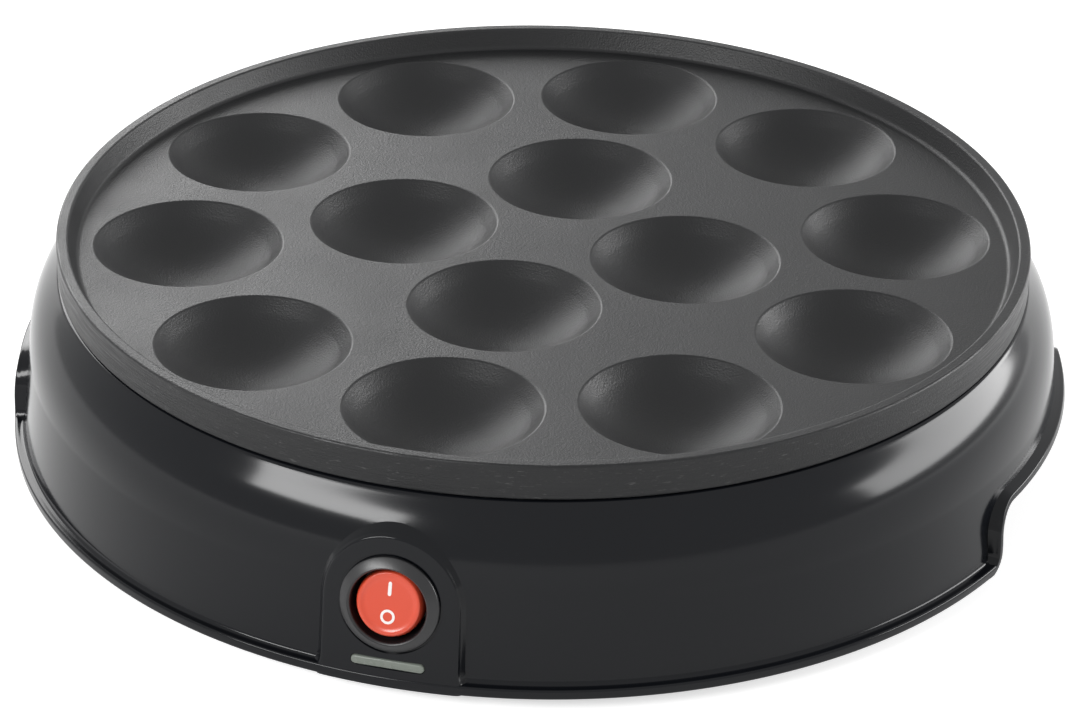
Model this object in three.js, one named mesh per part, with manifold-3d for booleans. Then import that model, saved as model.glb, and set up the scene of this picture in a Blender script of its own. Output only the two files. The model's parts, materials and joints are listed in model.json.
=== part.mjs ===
// Poffertjes maker: a round cast plate with fourteen wells on a glossy housing,
// with its tubular heater, heat shield, thermostat, switch, base tray and feet.
// Millimetres, +Z up, the switch towards -Y. The origin is on the table, under the middle.
import * as THREE from 'three';
import { mergeVertices } from 'three/addons/utils/BufferGeometryUtils.js';
import Module from 'manifold-3d';

const wasm = await Module();
wasm.setup();

// Shared clearances, cuts and facet counts
const seatGap = 0.3;             // clearance between pieces that rest on each other
const overrun = 1.5;             // how far a cutter runs past the face it cuts
const roundSides = 48;
const hiddenSides = 32;
const pinSides = 8;
const bendSteps = 5;

// Baking plate
const plateThickness = 3.6;
const rimHeight = 5.1;           // above the cooking field
const rimTopWidth = 2.8;
const rimDraft = 2;              // run of the rim's inner face from its top to the field
const rimEdge = 0.9;             // bevel on the rim's edges
const wellDiameter = 46;
const wellDepth = 11;
const wellWall = 3;
const wellLip = 0.7;             // bevel round each well
const wellSides = 16;
const wellSteps = 3;
const bulgeSides = 8;
const bulgeSteps = 2;
const outerWellCount = 10;
const wellGap = 7.52;            // between neighbours on the outer ring
const wellRingGap = 5;           // between the two rings
const wellMargin = 3.9;          // between the outer wells and the rim's slope
const innerWellCount = 4;
const bossDrop = 8;              // seats under the plate, below the field
const centreBossMargin = 4.4;    // boss past its screws' middles
const earthBossWall = 2.7;
const plateBossWall = 3;

// Tubular heater, pressed into a rib under the plate
const heaterDiameter = 6.5;
const heaterDrop = 8;            // middle of the tube, below the field
const heaterRibWall = 3;
const heaterRibLip = 0.8;        // rib below the tube
const heaterGapAngle = 66;       // open part of the ring, at the rear
const heaterRibGapAngle = 70;
const heaterSteps = 36;
const heaterSides = 8;
const bushDiameter = 7;
const bushLength = 6;
const bushFloor = 1;
const heaterPinDiameter = 2.4;
const heaterPinLength = 18;
const heaterTabWidth = 6.3;
const heaterTabThickness = 1;
const heaterTabDrop = 9;

// Housing, heights from the bottom of its flange
const crownMargin = 4.85;        // wall above the panel's band
const housingWall = 2.6;
const flangeWidth = 3.8;
const flangeThickness = 2.5;
const flangeEdge = 0.5;
const footingHeight = 4.2;
const footingFillet = 0.8;
const wallDraft = 0.7;           // lean of the wall from the footing to the shoulder
const shoulderRun = 8;           // from the shoulder's start in to the crown
const shoulderRise = 21.7;
const shoulderLeanAngle = 2;
const shoulderPull = 13;         // how far the shoulder's curve leans on its start
const crownInset = 0.1;          // crown inside the plate's edge
const crownLeanAngle = 35;
const crownPull = 7;             // how far the shoulder's curve leans on its end

// Finger grips in the skirt, at both sides
const gripHalfWidth = 43.2;
const gripCeilingGap = 5.8;      // between the top of a grip and its pocket's ceiling
const gripInnerCorner = 6.8;
const gripOuterCorner = 5;
const gripLipWidth = 2.6;
const gripLipLean = 1.6;         // how much less the lip stands out at the top of the grip
const gripCornerSteps = 4;

// Control panel: a tombstone that stands out of the skirt
const panelMargin = 3.75;        // face round the bezel
const panelLeanAngle = 7.4;
const panelBand = 3.4;           // width of the rounded band round the face
const panelSink = 0.8;           // how deep the band runs into the wall
const panelFlare = 2.8;          // rounding of the band's lower corners into the flange
const panelFlareShares = [0.12, 0.42, 1];
const panelArchSteps = 12;
const panelFloorSteps = 4;
const panelFaceRings = 2;
const panelBandShares = [[0.06, 0.02], [0.2, 0.14], [0.36, 0.48], [0.54, 0.78], [0.78, 0.94], [1, 1]];

// Rocker switch, on the panel's axis
const switchLensGap = 2;         // between the bezel and the indicator
const bezelDiameter = 23;
const bezelHeight = 2.1;
const bezelRim = 0.9;            // height of the bezel's outer edge
const bezelEdge = 0.5;
const spotMargin = 0.6;          // flat panel round the bezel
const bezelLip = 1.8;            // bezel past its barrel
const barrelWall = 0.95;
const barrelLength = 16.5;
const cupDepth = 9;
const switchSides = 20;
const rockerClearance = 1.05;
const rockerBevel = 0.75;        // face inside the rocker's side
const rockerProud = 1.1;         // middle of the rocker's face past the bezel
const rockerChamfer = 1.2;
const rockerPivotDepth = 3.4;
const rockerSkirt = 2;           // rocker behind its pivot
const rockerPinRadius = 1.1;
const rockerPinReach = 1.4;
const rockerThrowAngle = 20;
const bladeWidth = 4.8;
const bladeThickness = 0.8;
const bladeLength = 10;
const bladeSocket = 3;
const bladeInset = 4.7;          // outer blades' middles, in from the barrel's side
const bladeRows = [-1, 0, 1];    // in pitches from the middle

// Indicator lens and its lamp
const lensHeight = 5.6;
const lensWidth = 17;
const lensBar = 2.2;
const lensProud = 0.3;
const lensFlangeEnds = 1.5;      // flange past the bar's ends
const lensFlangeSides = 1.2;     // flange past the bar's long sides
const lensFlangeThickness = 1;
const lampDiameter = 3.2;
const lampLength = 10;
const lampHolderWall = 0.6;
const lampHolderEnds = 1;        // holder past the lamp's ends
const lampHolderMouth = 2;
const lampLeadDiameter = 1.1;
const lampLeadPull = 13;

// Base tray
const trayWall = 2.2;
const trayRise = 0.4;            // the tray's underside above the flange's
const trayClearance = 0.7;       // between the tray and the skirt
const trayRimHeight = 7;
const trayNotchMargin = 5.75;    // break in the rim, past the panel's sides
const pocketDepth = 28.9;        // from the skirt to the back wall of a finger pocket
const pocketHalfAngle = 25;
const pocketDrop = 6.1;          // pocket's ceiling below the heat shield
const hoodInset = 4.1;
const postWall = 1.7;
const padWall = 1.9;
const padHeight = 5.8;
const ventCount = 7;
const ventWidth = 3;
const ventPitch = 9;
const ventLength = 40;
const ventCornerSteps = 2;

// Heat shield
const shieldMargin = 6.4;        // shield past its screws' middles
const shieldThickness = 0.8;
const shieldDrop = 12;           // below the plate's seats
const shieldRimRise = 5.2;
const shieldHoleRadius = 15;
const shieldSlotWidth = 50;
const shieldSlotDepth = 16;

// Screws and feet
const screwHeadClearance = 0.5;
const driveWidth = 1;
const driveDepth = 1;
const plateScrewOffset = 13.4;   // outside the outer wells' circle
const plateScrewDiameter = 4;
const plateScrewHead = 7.6;
const plateScrewHeadHeight = 2.6;
const plateScrewRecess = 1.4;
const plateScrewGrip = 11;
const baseScrewInset = 14.5;     // inside the skirt's footing
const baseScrewDiameter = 3.2;
const baseScrewHead = 6.4;
const baseScrewHeadHeight = 2.2;
const baseScrewRecess = 0.9;
const baseScrewGrip = 11;
const columnWall = 2.6;
const columnWeb = 2;
const smallScrewDiameter = 3;
const smallScrewHead = 5.6;
const smallScrewHeadHeight = 1.8;
const smallScrewGrip = 4;
const footProud = 4;             // below the flange
const footRadius = 9;
const footEdge = 0.8;
const footStemRadius = 2.7;
const footBarb = 1;              // barb past the stem
const footBarbTip = 2;
const footBarbHeight = 1.6;
const footInset = 26.9;          // inside the skirt's footing
const plateScrewAngles = [36, 144, 216, 324];
const baseScrewAngles = [72, 108, 252, 288];
const footAngles = [54, 126, 234, 306];
const sideAngles = [0, 180];     // the finger grips and their pockets

// Thermostat and its strap
const thermostatCapRadius = 8;
const thermostatCapHeight = 3;
const thermostatBodyRadius = 6.6;
const thermostatBodyHeight = 6;
const thermostatBladePitch = 6;
const thermostatBladeWidth = 4;
const thermostatBladeLength = 7;
const thermostatBladeSocket = 2;
const strapThickness = 1;
const strapWidth = 8;
const strapScrewGap = 0.5;       // between a screw's head and the strap's ring
const strapEar = 3.6;
const strapTurnAngle = 45;

// Thermal fuse under the heat shield
const fuseDiameter = 4;
const fuseLength = 12;
const fusePlace = 40;            // from the middle, towards -X
const fuseClipWall = 0.8;
const fuseClipWidth = 6;
const fuseClipFoot = 6;
const rivetDiameter = 2.4;
const rivetHead = 4;
const rivetHeadHeight = 0.9;

// Earth tag
const earthTagThickness = 1;
const earthTagWidth = 6.3;
const earthTagReach = 4.2;
const earthTagDrop = 9;

// Terminal block and inner leads
const blockPoles = 4;
const blockPolePitch = 8;
const blockDepth = 14;
const blockHeight = 11;
const blockInset = 37.6;         // middle of the block, in from the tray's edge
const blockBore = 3.4;
const blockBoreRise = 5.6;
const blockScrewBore = 4;
const blockBoreSides = 8;
const blockLugThickness = 2;
const blockLugWidth = 8;
const blockLugHook = 1.6;
const leadDiameter = 2.4;
const leadInsert = 3;
const leadSides = 5;
const leadSteps = 8;
const leadPull = 15;
const longLeadPull = 60;

// Cord gland in the rear wall
const glandHeight = 16;
const glandBore = 7.4;
const glandBodyRadius = 6.4;
const glandFlangeRadius = 8.4;
const glandFlangeThickness = 1.4;
const glandEdge = 0.5;
const glandRingRadius = 7.4;
const glandRingThickness = 1.2;
const glandRingStandoff = 1.5;    // from the wall's inner face to the ring
const glandSides = 16;

// Directions round the middle
const fullTurn = 360;
const rearAngle = 90;
const frontAngle = 270;

// Places that follow from the sizes above
const outerWellCircle = (wellDiameter + wellGap) / (2 * Math.sin(Math.PI / outerWellCount));
const innerWellCircle = outerWellCircle - wellDiameter - wellRingGap;
const plateRadius = outerWellCircle + wellDiameter / 2 + wellMargin + rimDraft + rimTopWidth;
const crownRadius = plateRadius - crownInset;
const shoulderRadius = crownRadius + shoulderRun;
const footingRadius = shoulderRadius + wallDraft;
const flangeRadius = footingRadius + flangeWidth;
const panelWidth = bezelDiameter + 2 * panelMargin;
const switchHeight = lensHeight + (lensBar + bezelDiameter) / 2 + switchLensGap;
const housingHeight = switchHeight + panelWidth / 2 + panelBand + crownMargin;
const shoulderHeight = housingHeight - shoulderRise;
const barrelDiameter = bezelDiameter - 2 * bezelLip;
const bladePitch = barrelDiameter / 2 - bladeInset;
const bezelOpening = barrelDiameter - 2 * barrelWall;
const rockerDiameter = bezelOpening - 2 * rockerClearance;
const rockerFaceDiameter = rockerDiameter - 2 * rockerBevel;
const lensFlangeWidth = lensWidth + 2 * lensFlangeEnds;
const lensFlangeBar = lensBar + 2 * lensFlangeSides;
const lampHolderLength = lampLength + 2 * lampHolderEnds;
const fieldHeight = housingHeight + seatGap + plateThickness;
const bossSeat = fieldHeight - bossDrop;
const heaterCircle = (innerWellCircle + outerWellCircle) / 2;
const heaterHeight = fieldHeight - heaterDrop;
const heaterGroove = (heaterDiameter / 2 + seatGap) / Math.cos(Math.PI / heaterSides);
const shieldHeight = bossSeat - shieldDrop;
const shieldTop = shieldHeight + shieldThickness;
const pocketCeiling = shieldHeight - pocketDrop;
const gripHeight = pocketCeiling - gripCeilingGap;
const gripCorner = Math.min(gripInnerCorner, gripHeight / 2);
const plateScrewCircle = outerWellCircle + plateScrewOffset;
const baseScrewCircle = footingRadius - baseScrewInset;
const footCircle = footingRadius - footInset;
const shieldRadius = plateScrewCircle + shieldMargin;
const plateBossRadius = plateScrewDiameter / 2 + plateBossWall;
const earthBossRadius = smallScrewDiameter / 2 + earthBossWall;
const postRadius = plateScrewHead / 2 + screwHeadClearance + postWall;
const padRadius = baseScrewHead / 2 + screwHeadClearance + padWall;
const columnRadius = baseScrewDiameter / 2 + columnWall;
const footBarbRadius = footStemRadius + footBarb;
const shelfBottom = housingHeight - housingWall;
const shelfRadius = outerWellCircle + wellDiameter / 2 + wellWall;
const trayRadius = footingRadius - housingWall - trayClearance;
const trayFloor = trayRise + trayWall;
const trayNotchWidth = panelWidth + 2 * trayNotchMargin;
const pocketRadius = footingRadius - pocketDepth;
const hoodRadius = trayRadius - hoodInset;
const blockPlace = trayRadius - blockInset;
const plateScrewSeat = trayRise + plateScrewRecess + plateScrewHeadHeight;
const baseScrewSeat = trayRise + baseScrewRecess + baseScrewHeadHeight;
const columnBottom = padHeight + seatGap;
const switchRadius = panelFaceRadius(switchHeight);
const spotRadius = bezelDiameter / 2 + spotMargin;
const spotDepth = switchRadius - Math.sqrt(switchRadius ** 2 - spotRadius ** 2);
const bezelSeat = seatGap - spotDepth;
const bezelFace = bezelSeat + bezelHeight;
const barrelEnd = bezelSeat - barrelLength;
const rockerPivot = bezelFace - rockerPivotDepth;
const bladeTip = barrelEnd + bladeSocket - seatGap - bladeLength;
const lensWallRadius = panelFaceRadius(lensHeight + lensFlangeBar / 2) - housingWall;
const lensBack = chordFrom(lensWallRadius, lensFlangeWidth / 2) - seatGap;
const lampHolderSide = lampDiameter + 2 * seatGap + 2 * lampHolderWall;
const lampRadius = lensBack - lensFlangeThickness - seatGap - lampHolderSide / 2;
const thermostatTop = bossSeat - seatGap;
const thermostatBottom = thermostatTop - thermostatCapHeight - thermostatBodyHeight;
const strapEarBottom = thermostatTop - strapThickness;
const strapRingRadius = thermostatCapRadius + seatGap + strapThickness;
const strapScrewReach = strapRingRadius + smallScrewHead / 2 + strapScrewGap;
const centreBossRadius = strapScrewReach + centreBossMargin;
const fuseHeight = shieldHeight - seatGap - fuseDiameter / 2;
const blockBottom = trayFloor + seatGap;
const blockBoreHeight = blockBottom + blockBoreRise;

// Small helpers

function rad(degrees) {
  return THREE.MathUtils.degToRad(degrees);
}

function at(r, h) {
  return new THREE.Vector2(r, h);
}

function polar(radius, degrees, height = 0) {
  return new THREE.Vector3(radius * Math.cos(rad(degrees)), radius * Math.sin(rad(degrees)), height);
}

// How far a circle's chord lies from its centre.
function chordFrom(radius, halfChord) {
  return Math.sqrt(radius ** 2 - halfChord ** 2);
}

function along(direction, length) {
  return direction.clone().multiplyScalar(length);
}

// Solids and booleans

function signedVolume(geometry) {
  const place = geometry.attributes.position;
  const corners = [new THREE.Vector3(), new THREE.Vector3(), new THREE.Vector3()];
  let volume = 0;
  for (let i = 0; i < geometry.index.count; i += 3) {
    corners.forEach((corner, k) => corner.fromBufferAttribute(place, geometry.index.getX(i + k)));
    volume += corners[0].dot(corners[1].clone().cross(corners[2])) / 6;
  }
  return volume;
}

// The same surface with shared vertices, no flat triangles and its faces pointing out.
function closed(geometry) {
  const bare = geometry.clone();
  bare.deleteAttribute('normal');
  bare.deleteAttribute('uv');
  const merged = mergeVertices(bare, 1e-4);
  const kept = [];
  for (let i = 0; i < merged.index.count; i += 3) {
    const [a, b, c] = [0, 1, 2].map((k) => merged.index.getX(i + k));
    if (a !== b && b !== c && c !== a) kept.push(a, b, c);
  }
  merged.setIndex(kept);
  if (signedVolume(merged) < 0) merged.setIndex(kept.reverse());
  return merged;
}

function solid(shape) {
  if (shape instanceof wasm.Manifold) return shape;
  const skin = closed(shape);
  return new wasm.Manifold(new wasm.Mesh({
    numProp: 3,
    vertProperties: new Float32Array(skin.attributes.position.array),
    triVerts: new Uint32Array(skin.index.array),
  }));
}

function join(...shapes) {
  return shapes.map(solid).reduce((sum, next) => sum.add(next));
}

function cut(shape, ...cutters) {
  return cutters.map(solid).reduce((rest, next) => rest.subtract(next), solid(shape));
}

function common(first, second) {
  return solid(first).intersect(solid(second));
}

function skinOf(shape) {
  if (!(shape instanceof wasm.Manifold)) return closed(shape);
  const mesh = shape.getMesh();
  const geometry = new THREE.BufferGeometry();
  geometry.setAttribute('position', new THREE.BufferAttribute(new Float32Array(mesh.vertProperties), 3));
  geometry.setIndex(new THREE.BufferAttribute(new Uint32Array(mesh.triVerts), 1));
  return geometry;
}

// Basic forms, upright and round the Z axis unless they say otherwise

function revolve(profile, sides = roundSides) {
  return new THREE.LatheGeometry(profile, sides).rotateX(Math.PI / 2);
}

function rod(radius, bottom, top, sides = pinSides) {
  return new THREE.CylinderGeometry(radius, radius, top - bottom, sides)
    .rotateX(Math.PI / 2)
    .translate(0, 0, (bottom + top) / 2);
}

function slab(width, depth, bottom, top) {
  return new THREE.BoxGeometry(width, depth, top - bottom).translate(0, 0, (bottom + top) / 2);
}

function prism(outline, bottom, top, curveSegments = bendSteps) {
  return new THREE.ExtrudeGeometry(outline, { depth: top - bottom, bevelEnabled: false, curveSegments })
    .translate(0, 0, bottom);
}

function wedge(radius, middleAngle, halfAngle, bottom, top) {
  const shape = new THREE.Shape();
  shape.moveTo(0, 0);
  shape.absarc(0, 0, radius, rad(middleAngle - halfAngle), rad(middleAngle + halfAngle), false);
  shape.lineTo(0, 0);
  return prism(shape, bottom, top);
}

// A bar with round ends, lying along X.
function roundBar(width, height) {
  const r = height / 2;
  const end = width / 2 - r;
  const shape = new THREE.Shape();
  shape.moveTo(-end, -r);
  shape.lineTo(end, -r);
  shape.absarc(end, 0, r, -Math.PI / 2, Math.PI / 2, false);
  shape.lineTo(-end, r);
  shape.absarc(-end, 0, r, Math.PI / 2, 1.5 * Math.PI, false);
  return shape;
}

function disc(radius) {
  return new THREE.Shape().absarc(0, 0, radius, 0, 2 * Math.PI, false);
}

function tube(path, diameter, steps, sides) {
  const section = new THREE.Shape(Array.from({ length: sides }, (_, i) => {
    const turn = (2 * Math.PI * (i + 0.5)) / sides;
    return at((diameter / 2) * Math.cos(turn), (diameter / 2) * Math.sin(turn));
  }));
  return new THREE.ExtrudeGeometry(section, { steps, bevelEnabled: false, extrudePath: path });
}

// A closed skin over rings of equally many points, with a pole at each end.
function loft(rings, startPole, endPole) {
  const count = rings[0].length;
  const points = [startPole, ...rings.flat(), endPole];
  const faces = [];
  for (let i = 0; i < count; i += 1) {
    const next = (i + 1) % count;
    faces.push(0, 1 + next, 1 + i);
    for (let k = 0; k + 1 < rings.length; k += 1) {
      const [near, far] = [1 + k * count, 1 + (k + 1) * count];
      faces.push(near + i, near + next, far + next, near + i, far + next, far + i);
    }
    const last = 1 + (rings.length - 1) * count;
    faces.push(points.length - 1, last + i, last + next);
  }
  return new THREE.BufferGeometry().setFromPoints(points).setIndex(faces);
}

// A screw that points up, with a slotted head below its seat.
function screw(diameter, head, headHeight, seat, tip) {
  const shank = rod(diameter / 2, seat - headHeight / 2, tip);
  const cap = rod(head / 2, seat - headHeight, seat);
  const slot = slab(head + overrun, driveWidth, seat - headHeight - overrun, seat - headHeight + driveDepth);
  return cut(join(cap, shank), slot);
}

// Materials and placing

const finishes = {
  coating: { color: 0x2b2b2c, roughness: 0.55, metalness: 0.1 },
  gloss: { color: 0x141518, roughness: 0.12, metalness: 0 },
  matte: { color: 0x1d1d1f, roughness: 0.6, metalness: 0 },
  steel: { color: 0xb9bbbe, roughness: 0.35, metalness: 1 },
  sheath: { color: 0x6f6d6a, roughness: 0.5, metalness: 0.9 },
  shield: { color: 0xc4c6c8, roughness: 0.3, metalness: 1 },
  brass: { color: 0xc8a558, roughness: 0.35, metalness: 1 },
  ceramic: { color: 0xe6e2d6, roughness: 0.5, metalness: 0 },
  rocker: { color: 0xd8321e, roughness: 0.25, metalness: 0 },
  lens: { color: 0x9da59a, roughness: 0.3, metalness: 0 },
  glass: { color: 0xf0dccb, roughness: 0.1, metalness: 0 },
  rubber: { color: 0x232323, roughness: 0.9, metalness: 0 },
  leadRed: { color: 0x9c3a28, roughness: 0.6, metalness: 0 },
  leadBlue: { color: 0x2c4c8c, roughness: 0.6, metalness: 0 },
  leadGreen: { color: 0x6f9a2c, roughness: 0.6, metalness: 0 },
};

function piece(name, shape, finish, group) {
  const geometry = skinOf(shape).toNonIndexed();
  geometry.computeVertexNormals();
  const mesh = new THREE.Mesh(geometry, new THREE.MeshStandardMaterial(finishes[finish]));
  mesh.name = name;
  group.add(mesh);
  return mesh;
}

// Baking plate

// Evenly spaced places on a circle, the first one at the front.
function ringPlaces(count, radius) {
  return Array.from({ length: count }, (_, i) => polar(radius, frontAngle + (fullTurn * i) / count));
}

function wellPlaces() {
  return [...ringPlaces(outerWellCount, outerWellCircle), ...ringPlaces(innerWellCount, innerWellCircle)];
}

// Part of a ball's outline from its lowest point up to the given height.
function bowlProfile(ballRadius, ballCentre, upTo, steps) {
  const reach = Math.acos((ballCentre - upTo) / ballRadius);
  return Array.from({ length: steps + 1 }, (_, i) => {
    const turn = (reach * i) / steps;
    return at(ballRadius * Math.sin(turn), ballCentre - ballRadius * Math.cos(turn));
  });
}

function plateBlank() {
  const underside = fieldHeight - plateThickness;
  const rimTop = fieldHeight + rimHeight;
  const rimInner = plateRadius - rimTopWidth;
  return revolve([
    at(0, underside),
    at(plateRadius - rimEdge, underside),
    at(plateRadius, underside + rimEdge),
    at(plateRadius, rimTop - rimEdge),
    at(plateRadius - rimEdge, rimTop),
    at(rimInner + rimEdge / 2, rimTop),
    at(rimInner, rimTop - rimEdge / 2),
    at(rimInner - rimDraft, fieldHeight),
    at(0, fieldHeight),
  ]);
}

// The rib under the plate, with the heater's groove open downwards and a gap at the rear.
function heaterRib(top) {
  const bottom = heaterHeight - heaterDiameter / 2 - heaterRibLip;
  const reach = heaterGroove + heaterRibWall;
  const rib = revolve([
    at(heaterCircle - reach, bottom),
    at(heaterCircle + reach, bottom),
    at(heaterCircle + reach, top),
    at(heaterCircle - reach, top),
    at(heaterCircle - reach, bottom),
  ], hiddenSides);
  const roof = Array.from({ length: heaterSides / 2 + 1 }, (_, i) => {
    const turn = (2 * Math.PI * i) / heaterSides;
    return at(heaterCircle + heaterGroove * Math.cos(turn), heaterHeight + heaterGroove * Math.sin(turn));
  });
  const groove = revolve([
    at(heaterCircle - heaterGroove, bottom - overrun),
    at(heaterCircle + heaterGroove, bottom - overrun),
    ...roof,
    at(heaterCircle - heaterGroove, bottom - overrun),
  ], hiddenSides);
  const far = heaterCircle + reach + overrun;
  const gap = wedge(far, rearAngle, heaterRibGapAngle / 2, bottom - overrun, top + overrun);
  return cut(rib, groove, gap);
}

function bakingPlate() {
  const rootHeight = fieldHeight - plateThickness / 2;
  const mouth = wellDiameter / 2;
  const ball = (mouth ** 2 + wellDepth ** 2) / (2 * wellDepth);
  const ballCentre = fieldHeight - wellDepth + ball;
  const bulge = revolve([
    ...bowlProfile(ball + wellWall, ballCentre, rootHeight, bulgeSteps),
    at(0, rootHeight),
  ], bulgeSides);
  const lipRadius = (wellDiameter + wellLip) / 2;
  const hollow = revolve([
    ...bowlProfile(ball, ballCentre, fieldHeight - wellLip / 2, wellSteps),
    at(lipRadius, fieldHeight),
    at(lipRadius, fieldHeight + overrun),
    at(0, fieldHeight + overrun),
  ], wellSides);

  let plate = join(plateBlank(), heaterRib(rootHeight));
  plate = join(plate, rod(centreBossRadius, bossSeat, rootHeight, 2 * pinSides));
  plate = join(plate, rod(earthBossRadius, bossSeat, rootHeight).translate(0, heaterCircle, 0));
  for (const angle of plateScrewAngles) {
    const place = polar(plateScrewCircle, angle);
    const boss = rod(plateBossRadius, shieldTop + seatGap, rootHeight);
    plate = join(plate, boss.translate(place.x, place.y, 0));
  }
  for (const place of wellPlaces()) plate = join(plate, bulge.clone().translate(place.x, place.y, 0));
  for (const place of wellPlaces()) plate = cut(plate, hollow.clone().translate(place.x, place.y, 0));

  const bigHole = rod(plateScrewDiameter / 2 + seatGap, shieldTop, shieldTop + plateScrewGrip + 2 * seatGap);
  const smallEnd = bossSeat + smallScrewGrip + seatGap;
  const smallHole = rod(smallScrewDiameter / 2 + seatGap, bossSeat - overrun, smallEnd);
  for (const angle of plateScrewAngles) {
    const place = polar(plateScrewCircle, angle);
    plate = cut(plate, bigHole.clone().translate(place.x, place.y, 0));
  }
  for (const side of [-1, 1]) {
    const place = polar(side * strapScrewReach, strapTurnAngle);
    plate = cut(plate, smallHole.clone().translate(place.x, place.y, 0));
  }
  return cut(plate, smallHole.clone().translate(0, heaterCircle, 0));
}

// Heater ring, with a ceramic bush and a pin at each of its ends

class RingArc extends THREE.Curve {
  constructor(radius, height, fromAngle, toAngle) {
    super();
    Object.assign(this, { radius, height, fromAngle, toAngle });
  }

  getPoint(t, target = new THREE.Vector3()) {
    const angle = this.fromAngle + (this.toAngle - this.fromAngle) * t;
    return target.copy(polar(this.radius, angle, this.height));
  }
}

function heaterRing() {
  const half = heaterGapAngle / 2;
  const arc = new RingArc(heaterCircle, heaterHeight, rearAngle + half, rearAngle + fullTurn - half);
  return tube(arc, heaterDiameter, heaterSteps, heaterSides);
}

// At an end of the ring: +Z runs out of the tube and +X points down.
function heaterEndFrame(side) {
  const angle = rearAngle - (side * heaterGapAngle) / 2;
  const outward = polar(side, angle + rearAngle);
  const down = new THREE.Vector3(0, 0, -1);
  const frame = new THREE.Matrix4().makeBasis(down, outward.clone().cross(down), outward);
  return frame.setPosition(polar(heaterCircle, angle, heaterHeight));
}

function heaterBush() {
  const bore = rod(heaterPinDiameter / 2 + seatGap, seatGap + bushFloor, seatGap + bushLength + overrun);
  return cut(rod(bushDiameter / 2, seatGap, seatGap + bushLength), bore);
}

function heaterPin() {
  const start = 2 * seatGap + bushFloor;
  const end = start + heaterPinLength;
  const root = heaterPinDiameter / 2;
  const tab = new THREE.BoxGeometry(heaterTabDrop + root, heaterTabThickness, heaterTabWidth)
    .translate((heaterTabDrop - root) / 2, 0, end - heaterTabWidth / 2);
  return join(rod(root, start, end), tab);
}

// Lower end of the tab that hangs from a heater pin.
function heaterTabEnd(side) {
  const reach = 2 * seatGap + bushFloor + heaterPinLength - heaterTabWidth / 2;
  return new THREE.Vector3(heaterTabDrop, 0, reach).applyMatrix4(heaterEndFrame(side));
}

// Housing

function shoulderPoints() {
  const start = at(shoulderRadius, shoulderHeight);
  const end = at(crownRadius, housingHeight);
  const startLean = rad(shoulderLeanAngle);
  const endLean = rad(crownLeanAngle);
  const startHandle = at(-Math.sin(startLean), Math.cos(startLean)).multiplyScalar(shoulderPull).add(start);
  const endHandle = at(Math.sin(endLean), -Math.cos(endLean)).multiplyScalar(crownPull).add(end);
  return new THREE.CubicBezierCurve(start, startHandle, endHandle, end).getPoints(bendSteps);
}

function wallPoints() {
  return [at(footingRadius, footingHeight), ...shoulderPoints()];
}

// Outside radius of the skirt's wall at a height.
function wallRadius(height) {
  const points = wallPoints();
  const upper = points.findIndex((point) => point.y >= height);
  if (upper < 0) return crownRadius;
  if (upper === 0) return footingRadius;
  const [low, high] = [points[upper - 1], points[upper]];
  return low.x + ((high.x - low.x) * (height - low.y)) / (high.y - low.y);
}

// The wall's points moved inwards, square to the wall.
function insetWall(distance) {
  const points = wallPoints();
  return points.map((point, i) => {
    const before = points[Math.max(i - 1, 0)];
    const after = points[Math.min(i + 1, points.length - 1)];
    const run = after.clone().sub(before).normalize();
    return at(point.x - run.y * distance, point.y + run.x * distance);
  });
}

function housingShell() {
  const inner = insetWall(housingWall).filter((point, i) => i % 2 === 0 && point.y < shelfBottom);
  const shelfRoot = wallRadius(shelfBottom) - housingWall / Math.cos(rad(crownLeanAngle));
  return revolve([
    at(footingRadius - housingWall, 0),
    at(flangeRadius - flangeEdge, 0),
    at(flangeRadius, flangeEdge),
    at(flangeRadius, flangeThickness - flangeEdge),
    at(flangeRadius - flangeEdge, flangeThickness),
    at(footingRadius + footingFillet, flangeThickness),
    ...wallPoints(),
    at(shelfRadius, housingHeight),
    at(shelfRadius, shelfBottom),
    at(shelfRoot, shelfBottom),
    ...inner.reverse(),
    at(footingRadius - housingWall, 0),
  ]);
}

// Everything inside the middle of the skirt's wall, to trim the webs that run into it.
function housingEnvelope() {
  return revolve([
    at(0, 0),
    at(footingRadius - housingWall / 2, 0),
    ...insetWall(housingWall / 2).filter((point) => point.y < housingHeight),
    at(shelfRadius, housingHeight - housingWall / 2),
    at(0, housingHeight - housingWall / 2),
  ]);
}

// Stands a flat outline up and pushes it outwards in the direction of an angle.
function outwards(outline, from, to, angle, curveSegments = bendSteps) {
  const [x, y, z] = [new THREE.Vector3(1, 0, 0), new THREE.Vector3(0, 1, 0), new THREE.Vector3(0, 0, 1)];
  const upright = new THREE.Matrix4().makeBasis(y, z, x);
  return prism(outline, from, to, curveSegments).applyMatrix4(upright).rotateZ(rad(angle));
}

// Outline of a finger grip seen from the side, grown by a width; its lower corners may flare.
function gripOutline(grow, flare) {
  const half = gripHalfWidth + grow;
  const top = gripHeight + grow;
  const r = gripCorner + grow;
  const shape = new THREE.Shape();
  shape.moveTo(-half - flare, -overrun);
  shape.lineTo(half + flare, -overrun);
  if (flare > 0) shape.absarc(half + flare, flare, flare, -Math.PI / 2, -Math.PI, true);
  shape.absarc(half - r, top - r, r, 0, Math.PI / 2, false);
  shape.absarc(r - half, top - r, r, Math.PI / 2, Math.PI, false);
  if (flare > 0) shape.absarc(-half - flare, flare, flare, 0, -Math.PI / 2, true);
  return shape;
}

function gripBlock(angle, grow, flare) {
  return outwards(gripOutline(grow, flare), pocketRadius, flangeRadius + overrun, angle, gripCornerSteps);
}

// The ring that the lips round the finger grips are cut from.
function gripLipRing() {
  const top = gripHeight + gripLipWidth + overrun;
  const inner = footingRadius - housingWall / 2;
  return revolve([
    at(inner, 0),
    at(flangeRadius, 0),
    at(flangeRadius, flangeThickness),
    at(flangeRadius - gripLipLean, top),
    at(inner, top),
    at(inner, 0),
  ]);
}

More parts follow.
